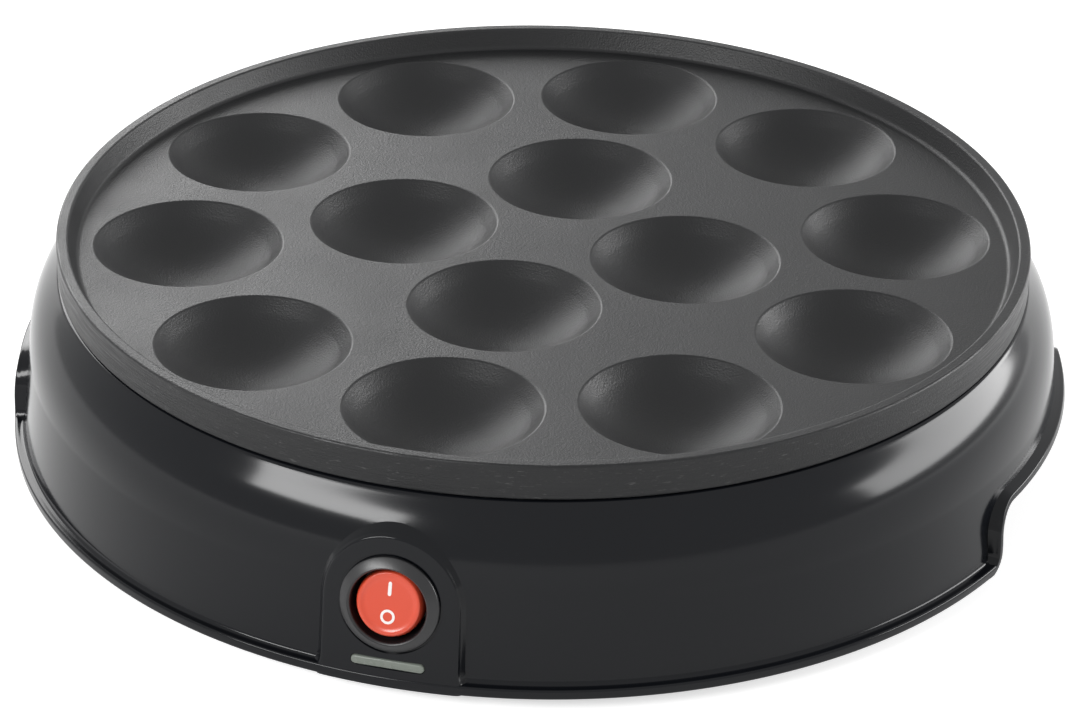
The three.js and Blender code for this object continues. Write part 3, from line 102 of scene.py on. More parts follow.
class HousingSizes(bpy.types.PropertyGroup):
    base: length("Base", "Height of the flange's underside above the table", 4)
    flange_radius: length("Flange radius", "Outside of the flange", 130.7)
    flange_thickness: length("Flange thickness", "Thickness of the flange", 2.5)
    flange_ease: length("Flange ease", "Rounding of the flange's edges", 0.7)
    footing_radius: length("Footing radius", "Wall just above the flange", 128.1)
    footing_rise: length("Footing rise", "Height of that point above the flange's underside", 4.4)
    shoulder_radius: length("Shoulder radius", "Wall where the shoulder starts", 126.2)
    shoulder_rise: length("Shoulder rise", "Height of the shoulder's start", 22)
    shoulder_pull: length("Shoulder pull", "How far the curve leans on its start", 13)
    shoulder_lean: angle("Shoulder lean", "Lean of the wall where the shoulder starts", 2)
    crown_radius: length("Crown radius", "Edge of the shoulder under the plate", 118.2)
    crown_rise: length("Crown rise", "Height of the crown", 43.7)
    crown_pull: length("Crown pull", "How far the curve leans on its end", 7)
    crown_lean: angle("Crown lean", "Lean of the wall at the crown", 35)
    wall: length("Wall", "Wall thickness", 2.6)
    shelf_radius: length("Shelf radius", "Opening under the plate", 112.6)
    grip_half: length("Grip half width", "Half the width of a finger grip", 43.2)
    grip_rise: length("Grip height", "Height of a finger grip", 15.7)
    grip_corner: length("Grip corner", "Inner corner of a finger grip", 6.8)
    grip_flare: length("Grip flare", "Lower corner of a finger grip", 5)
    grip_lip: length("Grip lip", "Width of the lip round a finger grip", 2.6)
    grip_lean: length("Grip lip lean", "How much less the lip stands out at its top", 3.4)


class PanelSizes(bpy.types.PropertyGroup):
    width: length("Width", "Width of the panel's face", 30.5)
    lean: angle("Lean", "How far the face leans back", 7.4)
    band: length("Band", "Width of the rounded band round the face", 3.4)
    sink: length("Sink", "How deep the band runs into the wall", 0.8)
    flare: length("Flare", "Rounding of the lower corners into the flange", 2.8)
    switch_rise: length("Switch height", "Middle of the switch above the flange's underside", 20.2)
    spot_radius: length("Spot radius", "Flat face round the bezel", 12.1)
    barrel_hole: length("Barrel hole", "Radius of the switch's hole", 10)
    lens_rise: length("Lens height", "Middle of the indicator above the flange's underside", 5.6)
    lens_width: length("Lens width", "Width of the indicator", 17)
    lens_height: length("Lens bar", "Height of the indicator", 2.2)


class SwitchSizes(bpy.types.PropertyGroup):
    bezel_radius: length("Bezel radius", "Outside of the bezel", 11.5)
    opening_radius: length("Opening radius", "Opening of the bezel", 8.75)
    bezel_face: length("Bezel face", "Crest of the bezel above the panel", 1.83)
    bezel_seat: length("Bezel seat", "Back of the bezel, from the panel's face", -0.27)
    barrel_radius: length("Barrel radius", "Barrel behind the panel", 9.7)
    barrel_length: length("Barrel length", "Length of the barrel behind its seat", 16.5)
    cup_depth: length("Cup depth", "Depth of the space round the rocker", 9)
    rocker_radius: length("Rocker radius", "Side of the rocker", 7.7)
    rocker_face: length("Rocker face", "Face of the rocker", 6.95)
    rocker_rise: length("Rocker rise", "Face of the rocker from its pivot", 2.6)
    rocker_skirt: length("Rocker skirt", "Rocker behind its pivot", 2)
    rocker_chamfer: length("Rocker chamfer", "Edge of the rocker's face", 1.2)
    rocker_pivot: length("Rocker pivot", "Pivot from the panel's face", -1.57)
    rocker_tilt: angle("Rocker tilt", "How far the rocker is pressed over at rest", 10)
    mark_proud: length("Mark thickness", "Printed marks above the rocker's face", 0.04)


class FinishColours(bpy.types.PropertyGroup):
    coating: colour("Coating", "Non-stick coating of the plate", (0.0085, 0.0088, 0.0095))
    housing: colour("Housing", "Glossy housing", (0.0042, 0.0048, 0.0064))
    base: colour("Base", "Matte base", (0.018, 0.018, 0.019))
    rocker: colour("Rocker", "Rocker of the switch", (0.23, 0.009, 0.003))
    bezel: colour("Bezel", "Satin bezel of the switch", (0.006, 0.006, 0.007))
    marks: colour("Marks", "Printed marks", (0.86, 0.82, 0.80))
    lens: colour("Lens", "Unlit indicator", (0.16, 0.18, 0.155))
    rubber: colour("Rubber", "Feet and cord gland", (0.02, 0.02, 0.02))


class StudioSizes(bpy.types.PropertyGroup):
    azimuth: angle("Azimuth", "Camera round the object, from the front towards the right", 14.7)
    elevation: angle("Elevation", "Camera above the horizon", 28.868)
    distance: length("Distance", "Camera from its target", 871.67)
    aim_side: length("Aim side", "Target sideways from the plate's middle", -0.36)
    aim_depth: length("Aim depth", "Target in front of the plate's middle", -62.74)
    roll: angle("Roll", "Camera turned round its own axis", 0.976)
    lens_mm: FloatProperty(name="Lens", description="Focal length in millimetres", default=126.2, min=1)
    floor_size: length("Floor size", "Side of the studio floor", 8000)


groups = {
    "plate_sizes": PlateSizes,
    "housing_sizes": HousingSizes,
    "panel_sizes": PanelSizes,
    "switch_sizes": SwitchSizes,
    "finish_colours": FinishColours,
    "studio_sizes": StudioSizes,
}


overrun = 0.0015  # how far a cutting tool reaches past what it cuts
cloud_range = (0.3, 0.7)  # where most of a noise's values lie
bump_depth = 0.0002
studio_middle = Vector((0, 0, 0.03))  # what the lamps look at

# Name, watts, width and height, azimuth from the camera, elevation and distance
lamps = (
    ("key_left", 8.5, (0.6, 0.2), -46, 29, 1.1),
    ("key_right", 19.0, (1.25, 0.38), 97, 14, 1.25),
    ("back_left", 13.0, (1.1, 0.6), -152, 24, 1.4),
)


# Profiles and meshes

def arc(centre, radius, start, stop, steps):
    """Points on a circle from one angle to another, both ends included."""
    turns = [start + (stop - start) * k / steps for k in range(steps + 1)]
    return [(centre[0] + radius * math.cos(t), centre[1] + radius * math.sin(t)) for t in turns]


def softened(corners, steps=5):
    """Profile points: each corner (radius, height, ease) is cut back by its ease and turned in a curve."""
    points = []
    for i, (r, z, ease) in enumerate(corners):
        corner = Vector((r, z))
        if ease == 0 or i in (0, len(corners) - 1):
            points.append(corner)
            continue
        before = (Vector(corners[i - 1][:2]) - corner).normalized() * ease
        after = (Vector(corners[i + 1][:2]) - corner).normalized() * ease
        for k in range(steps + 1):
            t = k / steps
            points.append(corner + before * (1 - t) ** 2 + after * t**2)
    return points


def spun(points, steps, loop=False):
    """A profile of (radius, height) points spun round the Z axis."""
    bm = bmesh.new()
    verts = [bm.verts.new((p[0], 0, p[1])) for p in points]
    edges = [bm.edges.new(pair) for pair in zip(verts, verts[1:])]
    if loop:
        edges.append(bm.edges.new((verts[-1], verts[0])))
    bmesh.ops.spin(
        bm, geom=verts + edges, cent=(0, 0, 0), axis=(0, 0, 1), angle=2 * math.pi, steps=steps, use_merge=True
    )
    bmesh.ops.remove_doubles(bm, verts=bm.verts, dist=1e-7)
    bmesh.ops.dissolve_degenerate(bm, edges=bm.edges, dist=1e-8)
    bmesh.ops.recalc_face_normals(bm, faces=bm.faces)
    return bm


def stadium(width, height, steps=12):
    """Outline of a bar with round ends."""
    r = height / 2
    reach = width / 2 - r
    quarter = math.pi / 2
    return arc((reach, 0), r, -quarter, quarter, steps) + arc((-reach, 0), r, quarter, 3 * quarter, steps)


def prism(outline, low, high, ease=0, steps=3):
    """A flat outline pushed up from one height to another, its upper edge eased."""
    bm = bmesh.new()
    face = bm.faces.new([bm.verts.new((x, y, low)) for x, y in outline])
    top = bmesh.ops.extrude_face_region(bm, geom=[face])["geom"]
    bmesh.ops.translate(bm, vec=(0, 0, high - low), verts=[g for g in top if isinstance(g, bmesh.types.BMVert)])
    if ease:
        rim = [e for e in bm.edges if all(abs(v.co.z - high) < 1e-7 for v in e.verts)]
        bmesh.ops.bevel(bm, geom=rim, offset=ease, segments=steps, profile=0.5, affect="EDGES", material=-1)
    bmesh.ops.recalc_face_normals(bm, faces=bm.faces)
    return bm


def moved(bm, matrix):
    bmesh.ops.transform(bm, matrix=matrix, verts=bm.verts)
    return bm


def joined(parts):
    """Several bmeshes in one; the parts are used up."""
    bm = bmesh.new()
    for part in parts:
        mesh = bpy.data.meshes.new("part")
        part.to_mesh(mesh)
        part.free()
        bm.from_mesh(mesh)
        bpy.data.meshes.remove(mesh)
    return bm


def mesh_object(bm, name):
    mesh = bpy.data.meshes.new(name)
    bm.to_mesh(mesh)
    bm.free()
    obj = bpy.data.objects.new(name, mesh)
    bpy.context.scene.collection.objects.link(obj)
    return obj


def combined(obj, tool_bm, operation):
    """Joins a tool to an object, or cuts it out of it."""
    tool = mesh_object(tool_bm, "tool")
    modifier = obj.modifiers.new("form", "BOOLEAN")
    modifier.operation = operation
    modifier.solver = "MANIFOLD"
    modifier.object = tool
    settled(obj)
    old = tool.data
    bpy.data.objects.remove(tool)
    bpy.data.meshes.remove(old)
    return obj


def settled(obj):
    """Applies an object's modifiers to its mesh."""
    graph = bpy.context.evaluated_depsgraph_get()
    mesh = bpy.data.meshes.new_from_object(obj.evaluated_get(graph))
    old = obj.data
    obj.modifiers.clear()
    obj.data = mesh
    mesh.name = old.name
    bpy.data.meshes.remove(old)
    return obj


def smooth(obj, degrees=30, weighted=False):
    mesh = obj.data
    mesh.polygons.foreach_set("use_smooth", [True] * len(mesh.polygons))
    mesh.set_sharp_from_angle(angle=math.radians(degrees))
    if weighted:
        modifier = obj.modifiers.new("normals", "WEIGHTED_NORMAL")
        modifier.keep_sharp = True
        settled(obj)
    return obj


def placed(obj, body, slot, *nodes):
    """Puts a finished piece on its body, in place of its CAD nodes."""
    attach(obj, body)
    if nodes:
        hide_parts(*nodes)
    return obj


def sizes(name):
    return getattr(bpy.context.scene, name)


def ring_places(number, radius):
    """Evenly spaced places on a circle, the first at the front."""
    turns = [1.5 * math.pi + 2 * math.pi * k / number for k in range(number)]
    return [Vector((radius * math.cos(t), radius * math.sin(t), 0)) for t in turns]


# Node groups and materials

def shader_group(name, outputs, inputs=()):
    group = bpy.data.node_groups.new(name, "ShaderNodeTree")
    for label, kind in inputs:
        group.interface.new_socket(label, in_out="INPUT", socket_type=kind)
    for label, kind in outputs:
        group.interface.new_socket(label, in_out="OUTPUT", socket_type=kind)
    return group, group.nodes.new("NodeGroupInput"), group.nodes.new("NodeGroupOutput")


def node(tree, kind, inputs=None, **options):
    made = tree.nodes.new(kind)
    for key, value in options.items():
        setattr(made, key, value)
    for key, value in (inputs or {}).items():
        if isinstance(value, bpy.types.NodeSocket):
            tree.links.new(value, made.inputs[key])
        else:
            made.inputs[key].default_value = value
    return made


def ranged(tree, value, low, high, to_low, to_high):
    made = node(tree, "ShaderNodeMapRange", {"Value": value, "From Min": low, "From Max": high})
    made.inputs["To Min"].default_value = to_low
    made.inputs["To Max"].default_value = to_high
    return made.outputs["Result"]


def grain_group():
    """Fine grain in object space: a soft cloud and the bump of a fine grain."""
    existing = bpy.data.node_groups.get("grain")
    if existing:
        return existing
    tree, start, end = shader_group(
        "grain",
        [("Cloud", "NodeSocketFloat"), ("Normal", "NodeSocketVector")],
        [("Grain Scale", "NodeSocketFloat"), ("Cloud Scale", "NodeSocketFloat"), ("Bump", "NodeSocketFloat")],
    )
    place = node(tree, "ShaderNodeTexCoord").outputs["Object"]
    cloud = node(tree, "ShaderNodeTexNoise", {"Vector": place, "Scale": start.outputs["Cloud Scale"], "Detail": 3})
    grain = node(tree, "ShaderNodeTexNoise", {"Vector": place, "Scale": start.outputs["Grain Scale"], "Detail": 4})
    bump = node(
        tree, "ShaderNodeBump",
        {"Strength": start.outputs["Bump"], "Distance": bump_depth, "Height": grain.outputs["Fac"]},
    )
    tree.links.new(cloud.outputs["Fac"], end.inputs["Cloud"])
    tree.links.new(bump.outputs["Normal"], end.inputs["Normal"])
    return tree


def brushing_group():
    """Fine lines that run round the Z axis, as a turned edge has, flecks that the coating paints lighter as glints,
    and where the turned edge is.
    """
    existing = bpy.data.node_groups.get("turned_lines")
    if existing:
        return existing
    tree, start, end = shader_group(
        "turned_lines",
        [("Lines", "NodeSocketFloat"), ("Painted Glints", "NodeSocketFloat"), ("Edge", "NodeSocketFloat")],
        [("Edge Radius", "NodeSocketFloat")],
    )
    place = node(tree, "ShaderNodeTexCoord").outputs["Object"]
    parts = node(tree, "ShaderNodeSeparateXYZ", {"Vector": place})
    turn = node(tree, "ShaderNodeMath", {0: parts.outputs["Y"], 1: parts.outputs["X"]}, operation="ARCTAN2")
    flat = node(tree, "ShaderNodeVectorMath", {0: place, 1: (1, 1, 0)}, operation="MULTIPLY")
    radius = node(tree, "ShaderNodeVectorMath", {0: flat.outputs["Vector"]}, operation="LENGTH")
    wound = node(
        tree, "ShaderNodeCombineXYZ",
        {"X": turn.outputs[0], "Y": radius.outputs["Value"], "Z": parts.outputs["Z"]},
    )
    noises = []
    for stretch, detail in (((9, 3000, 3000), 3), ((60, 2600, 2600), 2)):
        scaled = node(
            tree, "ShaderNodeVectorMath", {0: wound.outputs["Vector"], 1: stretch}, operation="MULTIPLY"
        )
        noises.append(
            node(tree, "ShaderNodeTexNoise", {"Vector": scaled.outputs["Vector"], "Scale": 1, "Detail": detail})
        )
    # The second noise gives the flecks that the coating paints lighter on the turned edge: painted glints that stand
    # in for its sparkle.
    lines, painted_glints = noises
    beyond = node(
        tree, "ShaderNodeMath", {0: radius.outputs["Value"], 1: start.outputs["Edge Radius"]},
        operation="GREATER_THAN",
    )
    tree.links.new(lines.outputs["Fac"], end.inputs["Lines"])
    tree.links.new(painted_glints.outputs["Fac"], end.inputs["Painted Glints"])
    tree.links.new(beyond.outputs[0], end.inputs["Edge"])
    return tree


def new_material(name):
    """A material with an empty tree, its Principled shader and the output."""
    material = bpy.data.materials.new(name)
    material.use_nodes = True
    tree = material.node_tree
    tree.nodes.clear()
    shader = tree.nodes.new("ShaderNodeBsdfPrincipled")
    output = tree.nodes.new("ShaderNodeOutputMaterial")
    tree.links.new(shader.outputs["BSDF"], output.inputs["Surface"])
    return material, tree, shader


def grain_nodes(tree, grain_scale, cloud_scale, bump):
    used = node(tree, "ShaderNodeGroup", node_tree=grain_group())
    used.inputs["Grain Scale"].default_value = grain_scale
    used.inputs["Cloud Scale"].default_value = cloud_scale
    used.inputs["Bump"].default_value = bump
    return used


def tinted(tree, base, factor, low=0.85, high=1.15):
    """The base colour, made darker and lighter by a factor from 0 to 1."""
    dark = [c * low for c in base] + [1]
    light = [min(c * high, 1) for c in base] + [1]
    mix = node(tree, "ShaderNodeMix", {"Factor": factor}, data_type="RGBA")
    mix.inputs[6].default_value = dark
    mix.inputs[7].default_value = light
    return mix.outputs[2]


def grained_material(name, base, grain, tint, rough):
    """A material whose colour and roughness vary with a cloud, and whose surface has a fine grain."""
    material, tree, shader = new_material(name)
    used = grain_nodes(tree, *grain)
    tree.links.new(tinted(tree, base, used.outputs["Cloud"], *tint), shader.inputs["Base Color"])
    tree.links.new(ranged(tree, used.outputs["Cloud"], *cloud_range, *rough), shader.inputs["Roughness"])
    tree.links.new(used.outputs["Normal"], shader.inputs["Normal"])
    return material, shader


def plain_material(name, base, roughness, metallic=0.0, grain=900, cloud=60, bump=0.1, spread=0.08, vary=0.15):
    """Moulded, cast or sheet material: a base colour with cloudy variation and a fine grain."""
    rough = (max(roughness - spread, 0.02), roughness + spread)
    material, shader = grained_material(name, base, (grain, cloud, bump), (1 - vary, 1 + vary), rough)
    shader.inputs["Metallic"].default_value = metallic
    return material


def coating_material(name):
    """Satin non-stick coating with a fine sandy grain; the rim's outer face is turned, with lighter flecks painted on
    it as glints, a painted sparkle.
    """
    material, tree, shader = new_material(name)
    base = sizes("finish_colours").coating
    used = grain_nodes(tree, 2200, 45, 0.5)
    turned = node(tree, "ShaderNodeGroup", node_tree=brushing_group())
    turned.inputs["Edge Radius"].default_value = sizes("plate_sizes").radius - 0.0007
    spotted = tinted(tree, base, used.outputs["Cloud"], 0.9, 1.12)
    # Painted glints: lighter flecks on the rim's turned face stand in for the sparkle of its machining.
    painted_glints = ranged(tree, turned.outputs["Painted Glints"], 0.64, 0.78, 0.0, 1.0)
    glints_on_edge = node(tree, "ShaderNodeMath", {0: painted_glints, 1: turned.outputs["Edge"]}, operation="MULTIPLY")
    glint_mix = node(tree, "ShaderNodeMix", {"Factor": glints_on_edge.outputs[0]}, data_type="RGBA")
    tree.links.new(spotted, glint_mix.inputs[6])
    glint_mix.inputs[7].default_value = (0.05, 0.05, 0.05, 1)
    tree.links.new(glint_mix.outputs[2], shader.inputs["Base Color"])
    satin = ranged(tree, used.outputs["Cloud"], *cloud_range, 0.40, 0.46)
    edge_rough = ranged(tree, turned.outputs["Lines"], 0.35, 0.65, 0.3, 0.5)
    rough = node(tree, "ShaderNodeMix", {"Factor": turned.outputs["Edge"], 2: satin, 3: edge_rough})
    tree.links.new(rough.outputs[0], shader.inputs["Roughness"])
    lines = node(
        tree, "ShaderNodeMath", {0: turned.outputs["Lines"], 1: turned.outputs["Edge"]}, operation="MULTIPLY"
    )
    bump = node(
        tree, "ShaderNodeBump",
        {"Strength": 0.5, "Distance": bump_depth, "Height": lines.outputs[0], "Normal": used.outputs["Normal"]},
    )
    tree.links.new(bump.outputs["Normal"], shader.inputs["Normal"])
    shader.inputs["Specular IOR Level"].default_value = 0.3
    return material


def gloss_material(name):
    """Black moulded plastic with a high gloss and the faint waves of its moulding."""
    base = sizes("finish_colours").housing
    material, shader = grained_material(name, base, (70, 14, 0.02), (0.92, 1.08), (0.12, 0.15))
    shader.inputs["IOR"].default_value = 1.5
    shader.inputs["Specular IOR Level"].default_value = 0.2
    return material


def rocker_material(name):
    """Translucent red plastic of the rocker, with light scattered under its skin."""
    base = sizes("finish_colours").rocker
    material, shader = grained_material(name, base, (500, 220, 0.03), (0.85, 1.15), (0.16, 0.24))
    shader.inputs["Specular IOR Level"].default_value = 0.15
    shader.inputs["Subsurface Weight"].default_value = 0.2
    shader.inputs["Subsurface Radius"].default_value = (0.004, 0.0008, 0.0004)
    shader.inputs["Subsurface Scale"].default_value = 1.0
    return material


def plain(*values, **options):
    """A maker of one plain material, for the table of finishes."""
    return lambda name: plain_material(name, *values, **options)


def finish_of(slot):
    """The material of a record's slot, made the first time it is asked for."""
    tones = sizes("finish_colours")
    name, maker = {
        "plate_coating": ("non_stick_coating", coating_material),
        "housing_gloss": ("gloss_black", gloss_material),
        "rocker_red": ("rocker_red", rocker_material),
        "base_matte": ("matte_black", plain(tones.base, 0.55, bump=0.3)),
        "steel": ("zinc_plated_steel", plain((0.6, 0.6, 0.6), 0.35, 1.0, bump=0.05)),
        "sheath": ("heater_sheath", plain((0.2, 0.19, 0.18), 0.5, 0.9, bump=0.15)),
        "shield": ("bright_sheet", plain((0.62, 0.62, 0.63), 0.3, 1.0, bump=0.04)),
        "brass": ("brass", plain((0.7, 0.55, 0.25), 0.35, 1.0, bump=0.05)),
        "ceramic": ("white_ceramic", plain((0.75, 0.72, 0.66), 0.5, bump=0.15)),
        "lens": ("indicator_lens", plain(tones.lens, 0.3, grain=700, cloud=150, bump=0.05)),
        "lamp_glass": ("lamp_glass", plain((0.85, 0.75, 0.65), 0.1, bump=0.02)),
        "rubber": ("rubber", plain(tones.rubber, 0.75, grain=1200, bump=0.3)),
        "lead_red": ("red_sleeve", plain((0.35, 0.05, 0.02), 0.6, grain=1500, bump=0.2)),
        "lead_blue": ("blue_sleeve", plain((0.03, 0.07, 0.3), 0.6, grain=1500, bump=0.2)),
        "lead_green": ("green_sleeve", plain((0.2, 0.35, 0.03), 0.6, grain=1500, bump=0.2)),
    }[slot]
    return bpy.data.materials.get(name) or maker(name)


def finished(obj, slot):
    obj.data.materials.clear()
    obj.data.materials.append(finish_of(slot))
    return obj


# The plate

def bowl_points(ball, centre, top, steps):
    """Part of a ball's outline, from its lowest point up to a height."""
    reach = math.acos((centre - top) / ball)
    turns = [reach * k / steps for k in range(steps + 1)]
    return [(ball * math.sin(turn), centre - ball * math.cos(turn)) for turn in turns]


def plate_blank(s):
    inner = s.radius - s.rim_width
    corners = [
        (0, s.underside, 0),
        (s.radius, s.underside, s.rim_ease),
        (s.radius, s.rim_top, s.rim_ease),
        (inner, s.rim_top, s.rim_ease * 0.8),
        (inner - s.rim_draft, s.field, s.rim_ease * 1.4),
        (0, s.field, 0),
    ]
    return spun(softened(corners, 6), 256)


def well_tools(s):
    """The hollow of one well and the metal under it, round the Z axis."""
    ball = (s.well_radius**2 + s.well_depth**2) / (2 * s.well_depth)
    centre = s.field - s.well_depth + ball
    bowl = bowl_points(ball, centre, s.field, 26)
    far = s.well_radius + 3 * s.well_lip
    lip = softened([(*bowl[-5], 0), (s.well_radius, s.field, s.well_lip), (far, s.field + 0.00004, 0)], 8)
    hollow = bowl[:-5] + [tuple(p) for p in lip] + [(far, s.field + 0.003), (0, s.field + 0.003)]
    root = (s.underside + s.field) / 2
    bulge = bowl_points(ball + s.well_wall, centre, root, 12) + [(0, root)]
    return hollow, bulge


class OBJECT_OT_baking_plate(bpy.types.Operator):
    """Makes the cast plate: a rimmed disc with rings of round wells"""

    bl_idname = "object.baking_plate"
    bl_label = "Baking plate"

    def execute(self, context):
        s = sizes("plate_sizes")
        places = ring_places(s.outer_count, s.outer_circle) + ring_places(s.inner_count, s.inner_circle)
        hollow, bulge = well_tools(s)
        plate = mesh_object(plate_blank(s), "cast_plate")
        combined(plate, joined([moved(spun(bulge, 48), Matrix.Translation(p)) for p in places]), "UNION")
        combined(plate, joined([moved(spun(hollow, 96), Matrix.Translation(p)) for p in places]), "DIFFERENCE")
        smooth(plate, 40, weighted=True)
        placed(finished(plate, "plate_coating"), "maker", "plate_coating", "baking_plate")
        return {"FINISHED"}


# The housing

def shoulder_points(s, steps=32):
    """The wall's outline from the shoulder's start to the crown."""
    start = Vector((s.shoulder_radius, s.shoulder_rise))
    end = Vector((s.crown_radius, s.crown_rise))
    first = start + Vector((-math.sin(s.shoulder_lean), math.cos(s.shoulder_lean))) * s.shoulder_pull
    last = end + Vector((math.sin(s.crown_lean), -math.cos(s.crown_lean))) * s.crown_pull
    points = []
    for k in range(steps + 1):
        t = k / steps
        u = 1 - t
        points.append(start * u**3 + first * 3 * u * u * t + last * 3 * u * t * t + end * t**3)
    return points


def wall_radius(s, rise):
    """Outside radius of the wall at a height above the flange's underside."""
    points = [Vector((s.footing_radius, s.footing_rise))] + shoulder_points(s)
    if rise <= points[0].y:
        return points[0].x
    for low, high in zip(points, points[1:]):
        if rise <= high.y:
            return low.x + (high.x - low.x) * (rise - low.y) / (high.y - low.y)
    return s.crown_radius


def skirt(s):
    """The round skirt with its flange, shoulder and shelf."""
    outer = softened(
        [
            (s.footing_radius - s.wall, 0, 0),
            (s.flange_radius, 0, s.flange_ease),
            (s.flange_radius, s.flange_thickness, s.flange_ease),
            (s.footing_radius + 0.0003, s.flange_thickness, 0.0011),
            (s.footing_radius, s.footing_rise, 0.0008),
            (s.shoulder_radius, s.shoulder_rise, 0),
        ],
        5,
    )
    inner = [(p.x - s.wall, p.y) for p in shoulder_points(s, 8) if p.y < s.crown_rise - 2 * s.wall]
    crown = softened(
        [
            (*shoulder_points(s)[-3], 0),
            (s.crown_radius, s.crown_rise, 0.0008),
            (s.shelf_radius, s.crown_rise, 0.0004),
            (s.shelf_radius, s.crown_rise - s.wall, 0),
        ],
        5,
    )
    points = [tuple(p) for p in outer] + [tuple(p) for p in shoulder_points(s)[1:-3]] + [tuple(p) for p in crown]
    points += [(s.crown_radius - s.wall, s.crown_rise - s.wall)] + inner[::-1]
    return moved(spun(points, 384, loop=True), Matrix.Translation((0, 0, s.base)))


def upright(distance, side):
    """Stands a flat outline up (x sideways, y up) and pushes it outwards to the right or left."""
    return Matrix(((0, 0, side, side * distance), (side, 0, 0, 0), (0, 1, 0, 0), (0, 0, 0, 1)))


def grip_tool(s, side, steps=10):
    """What a finger grip takes out of the wall and the flange."""
    half, top, r, flare = s.grip_half, s.grip_rise, s.grip_corner, s.grip_flare
    right = [(half + flare, -overrun)]
    right += arc((half + flare, flare), flare, -math.pi / 2, -math.pi, steps)
    right += arc((half - r, top - r), r, 0, math.pi / 2, steps)
    outline = right + [(-x, y) for x, y in reversed(right)]
    near = s.flange_radius * 0.75
    tool = prism(outline, 0, s.flange_radius + overrun - near)
    return moved(tool, Matrix.Translation((0, 0, s.base)) @ upright(near, side))


def lip_outline(s, grow, steps=10, rows=14, base=40):
    """Outline of a grip grown by a width, its lower corners turned out into the flange."""
    half = s.grip_half + grow
    top = s.grip_rise + grow
    r = s.grip_corner + grow
    foot = max(s.grip_flare - grow, 0.0004)
    corner = Vector((s.grip_half + s.grip_flare, grow + foot))
    right = arc(corner, foot, -math.pi / 2, -math.pi, steps)
    straight = top - r - corner.y
    right += [(half, corner.y + straight * k / rows) for k in range(1, rows)]
    right += arc((half - r, top - r), r, 0, math.pi / 2, steps)
    over = [((half - r) * (1 - 2 * k / base), top) for k in range(1, base)]
    left = [(-x, y) for x, y in reversed(right)]
    under = [(left[-1][0] * (1 - 2 * k / base), right[0][1]) for k in range(1, base)]
    return right + over + left + under


def grip_lip(s, side):
    """The flange running up round a finger grip and easing into the wall."""
    def stood(x, rise, radius):
        turn = math.asin(x / s.flange_radius)
        return Vector((side * radius * math.cos(turn), side * radius * math.sin(turn), s.base + rise))

    def face(rise):
        lift = max(rise - s.flange_thickness, 0) / (s.grip_rise + s.grip_lip)
        return s.flange_radius - s.grip_lean * lift**3

    flat, buried = 0.35, 0.0008
    shares = [(-0.85, 0), (-0.25, 0), (flat, 0)]
    shares += [(flat + (1 - flat) * out, drop) for out, drop in band_shares(18)]
    rings = []
    for out, drop in shares:
        grow = s.grip_lip * out
        lowest = 0.0003 + 0.1 * (grow + s.grip_lip)
        ring = []
        for x, y in lip_outline(s, grow):
            y = max(y, lowest)
            root = wall_radius(s, y) - buried
            ring.append(stood(x, y, face(y) + (root - face(y)) * drop))
        rings.append(ring)
    rise = s.grip_rise / 2
    return lofted(rings, stood(0, rise, face(rise)), stood(0, rise, wall_radius(s, rise) - s.wall / 2))


def panel_outline(s, p, grow, floor, flare=0.0, arch=56, sides=16, base=16):
    """The tombstone's outline as (sideways, up) points from its lower right corner round to its floor."""
    half = p.width / 2 + grow
    top = p.switch_rise
    points = []
    rises = [floor + (top - floor) * (k / sides) ** 1.6 for k in range(sides)]
    for rise in rises:
        lift = min(max((p.flare - (rise - s.flange_thickness)) / p.flare, 0), 1) if flare else 0
        points.append((half + flare * (1 - math.sqrt(max(1 - lift * lift, 0))), rise))
    for k in range(arch + 1):
        turn = math.pi * k / arch
        points.append((half * math.cos(turn), top + half * math.sin(turn)))
    points += [(-x, y) for x, y in reversed(points[:sides])]
    edge = points[0][0]
    for k in range(1, base):
        points.append((-edge + 2 * edge * k / base, floor))
    return points


def wrapped(s, x, rise, radius):
    turn = x / s.flange_radius
    return Vector((radius * math.sin(turn), -radius * math.cos(turn), s.base + rise))


def face_radius(s, p, rise):
    return s.flange_radius - rise * math.tan(p.lean)


def lofted(rings, start, end):
    """A closed skin over rings of equally many points, from a start point to an end point."""
    bm = bmesh.new()
    loops = []
    for ring in rings:
        verts = [bm.verts.new(point) for point in ring]
        loops.append([bm.edges.new((a, b)) for a, b in zip(verts, verts[1:] + verts[:1])])
    for low, high in zip(loops, loops[1:]):
        bmesh.ops.bridge_loops(bm, edges=low + high)
    for loop, pole in ((loops[0], start), (loops[-1], end)):
        tip = bm.verts.new(pole)
        for edge in loop:
            bm.faces.new((*edge.verts, tip))
    bmesh.ops.recalc_face_normals(bm, faces=bm.faces)
    return bm


def band_shares(steps=22):
    """How far in the band drops from the face, against how far out it is."""
    shares = []
    for k in range(1, steps + 1):
        t = k / steps
        convex = min(t / 0.3, 1)
        edge = 0.16 * (1 - math.sqrt(1 - convex * convex))
        fall = min(max((t - 0.18) / 0.82, 0), 1)
        shares.append((t, edge + (1 - edge) * (fall * fall * (3 - 2 * fall)) ** 0.8))
    return shares


def panel_boss(s, p):
    rings = []
    middle = Vector((0, p.switch_rise))
    for part in (0.25, 0.5, 0.75, 1.0):
        ring = []
        for x, y in panel_outline(s, p, 0, 0):
            at = Vector((x, y)).lerp(middle, 1 - part)
            ring.append(wrapped(s, at.x, at.y, face_radius(s, p, at.y)))
        rings.append(ring)
    for out, drop in band_shares():
        ring = []
        for x, y in panel_outline(s, p, p.band * out, 0, flare=p.flare * out):
            face = face_radius(s, p, y)
            root = wall_radius(s, y) - p.sink
            ring.append(wrapped(s, x, y, face + (root - face) * drop))
        rings.append(ring)
    rise = p.switch_rise
    ends = (face_radius(s, p, rise), wall_radius(s, rise) - s.wall / 2)
    return lofted(rings, *[wrapped(s, 0, rise, end) for end in ends])


